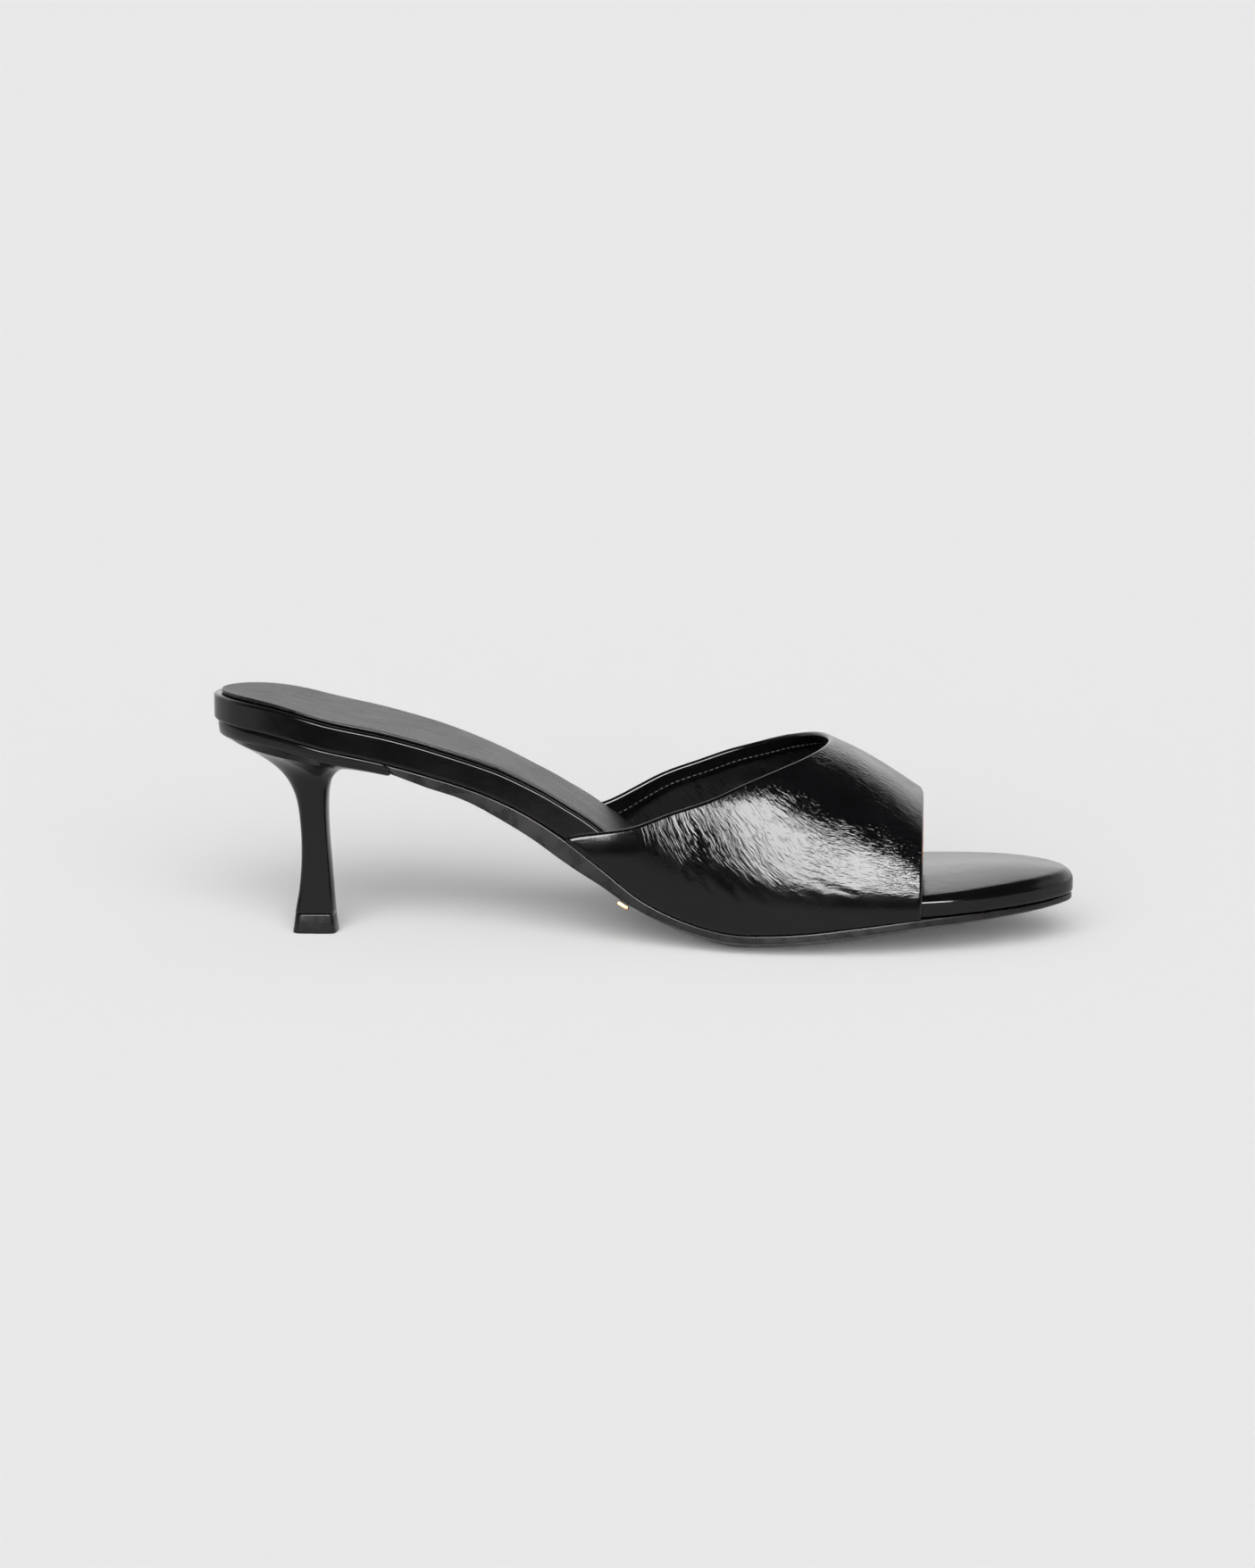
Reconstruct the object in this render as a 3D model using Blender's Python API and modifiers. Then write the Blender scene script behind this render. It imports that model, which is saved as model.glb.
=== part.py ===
"""A left mule with a slim heel: backless, open at the toe, one broad vamp.

The shoe stands on the plane z = 0. The toe points to +X, the outer side of the foot to +Y and the
inner side to -Y. The origin lies on the floor, halfway along the length and the width.
Sizes are in metres. Tables hold shares of the named sizes, a row for each section.
"""
from collections import namedtuple

import bmesh
import bpy
import numpy as np
from mathutils import Matrix, Vector

# Driving sizes of the last
LENGTH = 0.240
SEAT_WIDTH = 0.0525
WAIST_WIDTH = 0.0490
BALL_WIDTH = 0.0730
HEEL_HEIGHT = 0.0606
INSTEP_HEIGHT = 0.0558
TOE_SPRING = 0.0077

# Layers of the bottom
BOARD = 0.0080
BOARD_ROUND = 0.0014
BOARD_UNDER_ROUND = 0.0011
SOLE = 0.0023
SOLE_ROUND = 0.0007
SOLE_OVERHANG = 0.0016
TREAD_LIFT = 0.0043
ARCH_TWIST = 0.0022
TOE_CROWN = 0.0015
SOCK = 0.0008
SOCK_ROUND = 0.0004
SOCK_INSET = 0.0022
SOCK_LENGTH = 0.1780

# Upper
WALL = 0.0018
ARCH_POWER = 2.3
OPENING_LEAN = 0.0018

# Heel
SEAT_LENGTH = 0.0496
BAND = 0.0039
BAND_INSET = 0.0011
BAND_ROUND = 0.0004
TOP_PIECE = 0.0055
TOP_PIECE_FLARE = 0.12
TOP_PIECE_CHAMFER = 0.0005
HEEL_RAKE = 0.0022

# Small plate under the waist
PLATE_LENGTH = 0.0035
PLATE_WIDTH = 0.0090
PLATE_THICKNESS = 0.0012
PLATE_ALONG = 0.481
PLATE_ACROSS = -0.30

# Clearance between two pieces that lie on each other
GAP = 0.0003

# Points nearer than this are one point
WELD = 0.00002

# Fineness of the facets
STATIONS = 60
ACROSS = 6
ROUND_STEPS = 2
VAMP_ALONG = 18
VAMP_ACROSS = 30
HEEL_POINTS = 40
CURVE_SAMPLES = 40

# Share of the ball's width from which the foot bed has its full form
FULL_WIDTH = 0.70

# Plan of the platform: half widths on the inner and outer side, as shares of the named width
Plan = namedtuple("Plan", "along width inner outer")
PLAN = [
    Plan(0.020, SEAT_WIDTH, 0.232, 0.232),
    Plan(0.050, SEAT_WIDTH, 0.352, 0.352),
    Plan(0.100, SEAT_WIDTH, 0.453, 0.453),
    Plan(0.170, SEAT_WIDTH, 0.497, 0.503),
    Plan(0.250, WAIST_WIDTH, 0.510, 0.535),
    Plan(0.350, WAIST_WIDTH, 0.460, 0.500),
    Plan(0.450, WAIST_WIDTH, 0.475, 0.535),
    Plan(0.540, BALL_WIDTH, 0.385, 0.432),
    Plan(0.630, BALL_WIDTH, 0.463, 0.486),
    Plan(0.720, BALL_WIDTH, 0.502, 0.502),
    Plan(0.825, BALL_WIDTH, 0.492, 0.474),
    Plan(0.867, BALL_WIDTH, 0.462, 0.432),
    Plan(0.915, BALL_WIDTH, 0.397, 0.345),
    Plan(0.9625, BALL_WIDTH, 0.292, 0.198),
]
TIP_ACROSS = -0.092

# Side view of the last's feather line and of what lies on it.
# rise is a share of the heel's height and spring of the toe spring, over the ball's edge.
# twist is how far the outer edge lies under the inner one, at the foot's arch. lift is how far the
# edges stand over the middle of the tread, sole and board are thicknesses square to the bottom, and
# crown is how far the middle of the foot bed stands over its edges.
Side = namedtuple("Side", "along rise spring twist lift sole board crown")
SIDE = [
    Side(0.000, 1.000, 0.000, 0.00, 0.00, 0.80, 0.92, -0.10),
    Side(0.075, 0.961, 0.000, 0.00, 0.00, 0.80, 0.92, -0.20),
    Side(0.135, 0.899, 0.000, 0.18, 0.00, 0.80, 0.91, -0.25),
    Side(0.195, 0.844, 0.000, 0.34, 0.00, 0.80, 0.91, -0.25),
    Side(0.255, 0.770, 0.000, 0.50, 0.08, 1.35, 0.90, -0.20),
    Side(0.295, 0.713, 0.000, 0.64, 0.12, 1.45, 0.87, -0.15),
    Side(0.335, 0.641, 0.000, 0.80, 0.18, 1.75, 0.88, -0.15),
    Side(0.380, 0.535, 0.000, 0.96, 0.24, 1.93, 0.88, -0.15),
    Side(0.410, 0.446, 0.000, 1.00, 0.30, 1.90, 0.91, -0.15),
    Side(0.455, 0.296, 0.000, 1.00, 0.38, 1.40, 0.98, -0.10),
    Side(0.495, 0.162, 0.000, 0.80, 0.50, 1.10, 0.92, 0.00),
    Side(0.540, 0.066, 0.000, 0.40, 0.75, 1.03, 0.83, 0.10),
    Side(0.573, 0.022, 0.000, 0.15, 0.90, 1.00, 0.78, 0.20),
    Side(0.604, 0.000, 0.000, 0.00, 1.00, 1.00, 0.76, 0.30),
    Side(0.646, 0.000, 0.013, 0.00, 1.00, 1.00, 0.75, 0.50),
    Side(0.688, 0.000, 0.117, 0.00, 1.00, 1.00, 0.75, 0.70),
    Side(0.742, 0.000, 0.338, 0.00, 0.97, 1.00, 0.75, 0.90),
    Side(0.800, 0.000, 0.571, 0.00, 0.88, 1.00, 0.75, 1.00),
    Side(0.867, 0.000, 0.753, 0.00, 0.72, 1.00, 0.75, 1.00),
    Side(0.925, 0.000, 0.870, 0.00, 0.55, 0.90, 0.73, 0.90),
    Side(1.000, 0.000, 1.000, 0.00, 0.30, 0.75, 0.70, 0.40),
]
EDGE_OVER_TREAD = 0.884

# Ridge of the vamp, and of the instep that it would follow further back
Ridge = namedtuple("Ridge", "along height")
RIDGE = [
    Ridge(0.410, 1.830),
    Ridge(0.454, 1.738),
    Ridge(0.504, 1.595),
    Ridge(0.575, 1.389),
    Ridge(0.648, 1.183),
    Ridge(0.683, 1.084),
    Ridge(0.717, 1.000),
    Ridge(0.750, 0.931),
    Ridge(0.788, 0.835),
    Ridge(0.827, 0.722),
]

# Rear edge of the vamp: where it lies along the shoe at each turn of the arch,
# from 0 at the feather line to 1 at the ridge
Topline = namedtuple("Topline", "turn along")
TOPLINE = [
    Topline(0.000, 0.4104),
    Topline(0.070, 0.4565),
    Topline(0.217, 0.5333),
    Topline(0.300, 0.5750),
    Topline(0.393, 0.6125),
    Topline(0.497, 0.6475),
    Topline(0.607, 0.6750),
    Topline(0.760, 0.7008),
    Topline(0.903, 0.7138),
    Topline(1.000, 0.7167),
]
OPENING_ALONG = 0.8267

# Outsole's edge beside the platform's: in under the waist and toe, out under the vamp
Overhang = namedtuple("Overhang", "along out")
OVERHANG = [
    Overhang(0.190, -0.50),
    Overhang(0.380, -0.45),
    Overhang(0.425, 0.45),
    Overhang(0.480, 1.00),
    Overhang(0.540, 1.00),
    Overhang(0.740, 1.00),
    Overhang(0.790, 0.90),
    Overhang(0.840, 0.10),
    Overhang(0.900, -0.20),
    Overhang(1.000, -0.20),
]

# Sections of the heel under its band, from the seat down to the top piece: back and front as shares
# of the seat's length, heights as shares of the heel from top piece to seat, half width as a share
# of the seat's width, rear and breast as the powers that square the back and the front
Section = namedtuple("Section", "back back_height front front_height half rear breast")
HEEL = [
    Section(0.099, 0.900, 0.877, 0.817, 0.400, 2.0, 3.0),
    Section(0.202, 0.845, 0.786, 0.800, 0.301, 2.0, 3.0),
    Section(0.298, 0.788, 0.730, 0.769, 0.221, 2.2, 3.0),
    Section(0.375, 0.728, 0.684, 0.727, 0.168, 2.4, 3.0),
    Section(0.431, 0.655, 0.653, 0.664, 0.131, 2.8, 3.2),
    Section(0.466, 0.563, 0.641, 0.563, 0.109, 3.2, 3.5),
    Section(0.484, 0.416, 0.645, 0.416, 0.097, 3.6, 3.8),
    Section(0.486, 0.270, 0.657, 0.270, 0.093, 4.0, 4.2),
    Section(0.474, 0.132, 0.668, 0.132, 0.099, 4.4, 4.6),
    Section(0.450, 0.000, 0.678, 0.000, 0.110, 5.0, 5.0),
]
HEEL_BELLY = 0.62
BAND_TAPER = 0.69

# Colour, roughness and metallic value of each piece
Finish = namedtuple("Finish", "colour roughness metallic")
GLOSSY_BLACK = Finish((0.012, 0.011, 0.013), 0.18, 0.0)
SOLE_BROWN = Finish((0.030, 0.024, 0.022), 0.45, 0.0)
SOCK_GREY = Finish((0.060, 0.054, 0.052), 0.62, 0.0)
TIP_BLACK = Finish((0.016, 0.016, 0.017), 0.50, 0.0)
GILT = Finish((0.72, 0.52, 0.26), 0.25, 1.0)


def slopes(along, values):
    """Slopes of a smooth curve through the values, level with the chords at both ends."""
    run = np.diff(along)
    grade = np.diff(values) / run
    inside = (grade[:-1] * run[1:] + grade[1:] * run[:-1]) / (run[:-1] + run[1:])
    return np.concatenate([grade[:1], inside, grade[-1:]])


def curve(along, values, level_end=False):
    """A smooth curve through a table's column, as a function of the place along it."""
    along = np.array(along, float)
    values = np.array(values, float)
    slope = slopes(along, values)
    if level_end:
        slope[-1] = 0.0

    def at(place):
        place = np.clip(place, along[0], along[-1])
        row = np.clip(np.searchsorted(along, place) - 1, 0, len(along) - 2)
        run = along[row + 1] - along[row]
        t = (place - along[row]) / run
        start = (1 + 2 * t) * (1 - t) ** 2 * values[row] + t * (1 - t) ** 2 * run * slope[row]
        end = t * t * (3 - 2 * t) * values[row + 1] + t * t * (t - 1) * run * slope[row + 1]
        return start + end

    return at


def column(table, name):
    """A table's column as a smooth curve over the length."""
    return curve([row.along * LENGTH for row in table], [getattr(row, name) for row in table])


def plan_side(side):
    """Dense points and outward normals of the platform's edge on one side, from back to tip."""
    rows = [(row.along * LENGTH, side * (row.outer if side > 0 else row.inner) * row.width)
            for row in PLAN]
    points = np.array([(0.0, 0.0)] + rows + [(LENGTH, TIP_ACROSS * BALL_WIDTH)])
    chord = np.concatenate([[0.0], np.cumsum(np.linalg.norm(np.diff(points, axis=0), axis=1))])
    slope = np.stack([slopes(chord, points[:, 0]), slopes(chord, points[:, 1])], axis=1)
    slope[0] = (0.0, side)
    slope[-1] = (0.0, -side)
    dense = []
    tangent = []
    for i in range(len(points) - 1):
        run = chord[i + 1] - chord[i]
        for t in np.linspace(0.0, 1.0, CURVE_SAMPLES, endpoint=i == len(points) - 2):
            dense.append((1 + 2 * t) * (1 - t) ** 2 * points[i] + t * (1 - t) ** 2 * run * slope[i]
                         + t * t * (3 - 2 * t) * points[i + 1] + t * t * (t - 1) * run * slope[i + 1])
            tangent.append((6 * t * t - 6 * t) * (points[i] - points[i + 1]) / run
                           + (1 - 4 * t + 3 * t * t) * slope[i] + (3 * t * t - 2 * t) * slope[i + 1])
    tangent = np.array(tangent)
    tangent /= np.linalg.norm(tangent, axis=1)[:, None]
    normal = np.stack([-side * tangent[:, 1], side * tangent[:, 0]], axis=1)
    return np.array(dense), normal


EDGE = {side: plan_side(side) for side in (-1, 1)}
RISE = column(SIDE, "rise")
SPRING = column(SIDE, "spring")
TWIST = column(SIDE, "twist")
LIFT = column(SIDE, "lift")
SOLE_SHARE = column(SIDE, "sole")
BOARD_SHARE = column(SIDE, "board")
CROWN_SHARE = column(SIDE, "crown")
RIDGE_HEIGHT = column(RIDGE, "height")
OUT_SHARE = column(OVERHANG, "out")
TOPLINE_AT = curve([row.turn for row in TOPLINE], [row.along for row in TOPLINE], level_end=True)
MIDDLE = (max(EDGE[1][0][:, 1]) + min(EDGE[-1][0][:, 1])) / 2


def edge_point(x, side, out):
    """The platform's edge at x, moved outwards in plan, as (x, y)."""
    dense, normal = EDGE[side]
    place = np.array([x, np.interp(x, dense[:, 0], dense[:, 1])])
    turn = np.array([np.interp(x, dense[:, 0], normal[:, 0]), np.interp(x, dense[:, 0], normal[:, 1])])
    return place + out * turn / np.linalg.norm(turn)


def edge_across(x, side, out=0.0):
    """Where the platform's edge, moved outwards in plan, crosses x."""
    dense, normal = EDGE[side]
    across = np.interp(x, dense[:, 0], dense[:, 1])
    if out:
        across += side * out / abs(np.interp(x, dense[:, 0], normal[:, 1]))
    return across


def share_across(x, y):
    """Where y lies between the platform's edges at x: -1 at the inner edge, 1 at the outer one."""
    inner, outer = edge_across(x, -1), edge_across(x, 1)
    return np.clip((2 * y - inner - outer) / max(outer - inner, WELD), -1.0, 1.0)


def feather(x, across=-1.0):
    """Height of the last's lower edge at x, across going from -1 at the inner to 1 at the outer edge."""
    ball = SOLE + EDGE_OVER_TREAD * TREAD_LIFT
    inner = ball + RISE(x) * (HEEL_HEIGHT - ball) + SPRING(x) * TOE_SPRING
    return inner - TWIST(x) * ARCH_TWIST * (1 + across) / 2


def upright(x):
    """Height that a thickness of 1, square to the bottom, takes up at x."""
    step = LENGTH / 500
    grade = (feather(min(x + step, LENGTH)) - feather(max(x - step, 0.0))) / (2 * step)
    return np.sqrt(1 + grade ** 2)


def fullness(x):
    """Falls from 1 to 0 where the foot bed narrows to its back and its tip."""
    width = edge_across(x, 1) - edge_across(x, -1)
    return 1 - (1 - min(1.0, width / (FULL_WIDTH * BALL_WIDTH))) ** 2


def seat_line(x, y):
    """Height where platform and outsole meet: lower in the middle of the tread."""
    across = share_across(x, y)
    return feather(x, across) - LIFT(x) * TREAD_LIFT * fullness(x) * (1 - across ** 4)


def foot_bed(x, y):
    """Height of the platform's top, dished at the seat and crowned at the toe."""
    across = share_across(x, y)
    edge = feather(x, across) + GAP + BOARD_SHARE(x) * BOARD * upright(x)
    return edge + CROWN_SHARE(x) * TOE_CROWN * fullness(x) * (1 - across ** 2)


def tread(x, y):
    """Height of the outsole's underside, worn flat where it would reach under the floor."""
    return max(0.0, seat_line(x, y) - SOLE_SHARE(x) * SOLE * upright(x))


def cosine_stations(start, end, count):
    """Places along the shoe, closer together at both ends."""
    return [start + (end - start) * (1 - np.cos(np.pi * i / count)) / 2 for i in range(count + 1)]


def section(x, out, low, high, round_low, round_high, rake=0.0):
    """Closed section of a layer at x: under side, outer edge, top, inner edge.

    low and high give heights from x and y. rake moves the under side forwards.
    """

    def edge(side, inset):
        return edge_point(x, side, out - inset)

    def under(place):
        return (place[0] + rake, place[1], low(*place))

    def over(place):
        return (place[0], place[1], high(*place))

    def row(inset, face):
        ends = edge(-1, inset), edge(1, inset)
        shares = np.linspace(0.0, 1.0, ACROSS + 1)
        return [face(ends[0] * (1 - t) + ends[1] * t) for t in shares]

    def rounded(side):
        points = []
        for turn in np.linspace(0.0, np.pi / 2, ROUND_STEPS + 1)[1:]:
            place = edge(side, round_low * (1 - np.sin(turn)))
            shift = rake * (1 - turn / np.pi)
            height = low(*place) + round_low * (1 - np.cos(turn))
            points.append((place[0] + shift, place[1], height))
        for turn in np.linspace(0.0, np.pi / 2, ROUND_STEPS + 1)[:-1]:
            place = edge(side, round_high * (1 - np.cos(turn)))
            height = high(*place) - round_high * (1 - np.sin(turn))
            points.append((place[0], place[1], height))
        return points

    return row(round_low, under) + rounded(1) + row(round_high, over)[::-1] + rounded(-1)[::-1]


def finish_material(name, finish):
    """Principled material of one piece."""
    material = bpy.data.materials.new(name)
    material.use_nodes = True
    shader = material.node_tree.nodes["Principled BSDF"]
    shader.inputs["Base Color"].default_value = (*finish.colour, 1.0)
    shader.inputs["Roughness"].default_value = finish.roughness
    shader.inputs["Metallic"].default_value = finish.metallic
    return material


def add_object(name, mesh_source, finish, collection):
    """Writes a bmesh as a smooth-shaded object, with the shoe's middle on the origin."""
    bmesh.ops.translate(mesh_source, verts=mesh_source.verts, vec=(-LENGTH / 2, -MIDDLE, 0.0))
    mesh = bpy.data.meshes.new(name)
    mesh_source.to_mesh(mesh)
    mesh_source.free()
    mesh.shade_smooth()
    mesh.set_sharp_from_angle(angle=np.radians(40))
    mesh.materials.append(finish_material(name, finish))
    thing = bpy.data.objects.new(name, mesh)
    collection.objects.link(thing)
    return thing


def cap_across(solid, ring):
    """Closes a ring, whose two halves mirror each other, with a row of strips."""
    count = len(ring)
    for i in range(count // 2):
        corners = [ring[i], ring[i + 1], ring[(count - i - 1) % count], ring[(count - i) % count]]
        unique = list(dict.fromkeys(corners))
        if len(unique) > 2:
            solid.faces.new(unique)


def loft(sections):
    """A closed solid through closed sections, its two ends capped or drawn to a point."""
    solid = bmesh.new()
    rings = [[solid.verts.new(point) for point in ring] for ring in sections]
    count = len(rings[0])
    for first, second in zip(rings, rings[1:]):
        for i in range(count):
            j = (i + 1) % count
            solid.faces.new((first[i], first[j], second[j], second[i]))
    return solid, rings


def seal(solid):
    """Joins the points that meet, splits the quads and turns all faces outwards."""
    bmesh.ops.remove_doubles(solid, verts=solid.verts, dist=WELD)
    bmesh.ops.triangulate(solid, faces=solid.faces)
    bmesh.ops.recalc_face_normals(solid, faces=solid.faces)
    return solid


def layer_caps(solid, ring):
    """Closes the end of a layer with strips from its under side to its top."""
    row = ACROSS + 1
    side = 2 * ROUND_STEPS
    under = ring[:row]
    over = ring[row + side:2 * row + side][::-1]
    for i in range(ACROSS):
        solid.faces.new((under[i], under[i + 1], over[i + 1], over[i]))
    solid.faces.new([under[-1]] + ring[row:row + side] + [over[-1]])
    solid.faces.new([over[0]] + ring[2 * row + side:] + [under[0]])


def make_platform(collection):
    """Insole board wrapped in glossy leather, rounded at its upper edge."""

    def low(x, y):
        return seat_line(x, y) + GAP

    stations = cosine_stations(0.0, LENGTH, STATIONS)
    sections = [section(x, 0.0, low, foot_bed, BOARD_UNDER_ROUND, BOARD_ROUND) for x in stations]
    solid, _ = loft(sections)
    add_object("platform", seal(solid), GLOSSY_BLACK, collection)


def make_sock(collection):
    """Thin padded lining on the foot bed, from the back to under the vamp."""

    def low(x, y):
        return foot_bed(x, y) + GAP

    def high(x, y):
        return low(x, y) + SOCK * upright(x)

    turn = np.linspace(0.0, np.pi / 2, STATIONS * 3 // 4 + 1)
    stations = [SOCK_LENGTH * (1 - np.cos(angle)) for angle in turn]
    sections = [section(x, -SOCK_INSET, low, high, SOCK_ROUND, SOCK_ROUND) for x in stations]
    solid, rings = loft(sections)
    layer_caps(solid, rings[-1])
    add_object("sock", seal(solid), SOCK_GREY, collection)


def make_outsole(collection):
    """Outsole from the heel's front lip to the tip, its rear end cut on the slant."""
    start = SEAT_LENGTH + GAP
    turn = np.linspace(0.0, np.pi / 2, STATIONS * 4 // 5 + 1)
    stations = [start + (LENGTH - start) * np.sin(angle) for angle in turn]
    sections = []
    for i, x in enumerate(stations):
        out = OUT_SHARE(x) * SOLE_OVERHANG
        rake = HEEL_RAKE if i == 0 else 0.0
        sections.append(section(x, out, tread, seat_line, SOLE_ROUND, SOLE_ROUND, rake))
    solid, rings = loft(sections)
    layer_caps(solid, rings[0])
    add_object("outsole", seal(solid), SOLE_BROWN, collection)


def arch_point(x, side, turn):
    """Outer face of the vamp at x, turn going from 0 at the feather line to 1 at the ridge."""
    base = feather(x, side) + GAP
    angle = turn * np.pi / 2
    foot = edge_across(x, side, GAP + WALL)
    rise = (RIDGE_HEIGHT(x) * INSTEP_HEIGHT - base) * np.sin(angle) ** (2 / ARCH_POWER)
    return (x, foot * np.cos(angle) ** (2 / ARCH_POWER), base + rise)


def make_upper(collection):
    """Broad vamp: an arch open at toe, back and underneath, thickened inwards to its wall."""
    shell = bmesh.new()
    grid = []
    for i in range(VAMP_ACROSS + 1):
        share = 2 * i / VAMP_ACROSS - 1
        side = 1 if share > 0 else -1
        turn = 1 - abs(share)
        rear = TOPLINE_AT(turn) * LENGTH
        front = OPENING_ALONG * LENGTH - OPENING_LEAN * (1 - turn)
        stations = np.linspace(rear, front, VAMP_ALONG + 1)
        grid.append([shell.verts.new(arch_point(x, side, turn)) for x in stations])
    for first, second in zip(grid, grid[1:]):
        for i in range(VAMP_ALONG):
            shell.faces.new((first[i], first[i + 1], second[i + 1], second[i]))
    upper = add_object("upper", shell, GLOSSY_BLACK, collection)
    thicken = upper.modifiers.new("Wall", "SOLIDIFY")
    thicken.thickness = WALL
    thicken.offset = -1.0
    thicken.use_even_offset = True


def heel_ring(back, front, half, rear, breast, height):
    """One section of the heel, its back and breast squared by their powers, height from x."""
    belly = back + HEEL_BELLY * (front - back)
    ring = []
    for i in range(HEEL_POINTS):
        angle = 2 * np.pi * i / HEEL_POINTS
        power = rear if np.cos(angle) > 0 else breast
        ahead = belly - back if np.cos(angle) > 0 else front - belly
        x = belly - ahead * np.sign(np.cos(angle)) * abs(np.cos(angle)) ** (2 / power)
        y = half * np.sign(np.sin(angle)) * abs(np.sin(angle)) ** (2 / power)
        ring.append((x, y, height(x)))
    return ring


def seat_ring(inset, drop, thin):
    """Section of the heel's band: the platform's own plan, cut square at the breast."""
    ring = []
    front = SEAT_LENGTH - inset
    quarter = HEEL_POINTS // 4
    for i in range(HEEL_POINTS):
        side = 1 if i <= HEEL_POINTS // 2 else -1
        turn = min(i, HEEL_POINTS - i) / quarter
        if turn <= 1.5:
            x = front * (1 - np.cos(turn / 1.5 * np.pi / 2))
            place = edge_point(x, side, -inset)
        else:
            corner = edge_point(front, side, -inset)
            place = np.array([front, corner[1] * (2 - turn) / 0.5])
        taper = 1 - thin * place[0] / SEAT_LENGTH
        top = feather(place[0], share_across(place[0], place[1]))
        ring.append((place[0], place[1], top - drop * taper))
    return ring


def make_heel(collection):
    """Heel block: band round the seat, concave flare and slim shaft."""
    foot = TOP_PIECE + GAP
    body = HEEL_HEIGHT - foot
    rings = [
        seat_ring(BAND_INSET + BAND_ROUND, 0.0, 0.0),
        seat_ring(BAND_INSET, BAND_ROUND, 0.0),
        seat_ring(BAND_INSET + BAND_ROUND, BAND, BAND_TAPER),
    ]
    for row in HEEL:
        back = row.back * SEAT_LENGTH
        front = row.front * SEAT_LENGTH
        back_height = foot + row.back_height * body
        front_height = foot + row.front_height * body

        def height(x):
            share = (x - back) / (front - back)
            return back_height * (1 - share) + front_height * share

        rings.append(heel_ring(back, front, row.half * SEAT_WIDTH, row.rear, row.breast,
                               height))
    solid, loops = loft(rings)
    cap_across(solid, loops[0])
    cap_across(solid, loops[-1])
    add_object("heel", seal(solid), GLOSSY_BLACK, collection)


def make_top_piece(collection):
    """Wear tip that carries on the heel's flare, with a small chamfer at the floor."""
    last = HEEL[-1]
    back = last.back * SEAT_LENGTH
    front = last.front * SEAT_LENGTH
    half = last.half * SEAT_WIDTH
    flare = TOP_PIECE * TOP_PIECE_FLARE
    levels = [
        (0.0, TOP_PIECE),
        (flare, TOP_PIECE_CHAMFER),
        (flare - TOP_PIECE_CHAMFER, 0.0),
    ]
    rings = [heel_ring(back - out, front + out, half + out, last.rear, last.breast,
                       lambda x, z=level: z)
             for out, level in levels]
    solid, loops = loft(rings)
    cap_across(solid, loops[0])
    cap_across(solid, loops[-1])
    add_object("top_piece", seal(solid), TIP_BLACK, collection)


def make_sole_plate(collection):
    """Small plain plate that lies against the outsole's underside at the waist."""
    x = PLATE_ALONG * LENGTH
    y = PLATE_ACROSS * BALL_WIDTH

    def under(place_x, place_y):
        return Vector((place_x, place_y, tread(place_x, place_y)))

    beside = (under(x, y + PLATE_WIDTH / 2) - under(x, y - PLATE_WIDTH / 2)).normalized()
    ahead = under(x + PLATE_LENGTH, y) - under(x - PLATE_LENGTH, y)
    down = beside.cross(ahead).normalized()
    turn = Matrix((down.cross(beside), beside, down)).transposed().to_4x4()
    centre = under(x, y) + down * (GAP + PLATE_THICKNESS / 2)
    size = Matrix.Diagonal((PLATE_LENGTH, PLATE_WIDTH, PLATE_THICKNESS, 1.0))
    solid = bmesh.new()
    bmesh.ops.create_cube(solid, size=1.0, matrix=Matrix.Translation(centre) @ turn @ size)
    add_object("sole_plate", seal(solid), GILT, collection)


def main():
    for thing in list(bpy.data.objects):
        bpy.data.objects.remove(thing, do_unlink=True)
    shoe = bpy.data.collections.new("heeled_mule")
    bpy.context.scene.collection.children.link(shoe)
    make_platform(shoe)
    make_sock(shoe)
    make_outsole(shoe)
    make_upper(shoe)
    make_heel(shoe)
    make_top_piece(shoe)
    make_sole_plate(shoe)


main()
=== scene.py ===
# %% [markdown]
# # A left mule in creased black leather
#
# The shoe is backless and open at the toe: one broad vamp over a thin wrapped platform, a padded
# sock, a leather outsole and a slim flared heel. The construction model gives the frame, and each
# visible piece is modelled again here with a fine surface, in the same place and at the same size.

import math

import bpy
import numpy as np
from mathutils import Matrix, Vector

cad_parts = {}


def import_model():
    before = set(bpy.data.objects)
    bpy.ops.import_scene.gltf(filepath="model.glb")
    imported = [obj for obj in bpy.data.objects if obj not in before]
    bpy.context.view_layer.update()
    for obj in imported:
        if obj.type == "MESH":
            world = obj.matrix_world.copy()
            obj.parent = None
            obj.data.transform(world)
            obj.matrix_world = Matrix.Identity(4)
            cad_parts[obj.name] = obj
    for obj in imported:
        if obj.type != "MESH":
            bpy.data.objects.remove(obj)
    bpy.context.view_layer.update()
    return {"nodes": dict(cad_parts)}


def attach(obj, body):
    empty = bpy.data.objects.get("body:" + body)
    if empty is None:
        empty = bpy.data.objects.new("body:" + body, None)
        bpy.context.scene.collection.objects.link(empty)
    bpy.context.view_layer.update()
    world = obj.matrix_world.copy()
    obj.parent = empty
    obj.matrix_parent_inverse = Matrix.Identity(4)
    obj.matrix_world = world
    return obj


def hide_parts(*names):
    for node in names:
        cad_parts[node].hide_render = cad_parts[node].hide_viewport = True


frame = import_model()
print("nodes:", ", ".join(sorted(frame["nodes"])))

# %% [markdown]
# ## Sizes of the last
#
# A shoe is built round a last. Its length, its widths and the height of the heel drive everything,
# so they come first, in metres. The tables hold shares of these sizes, a row for each section along
# the shoe, and the smooth curves through their columns give every surface.

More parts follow.
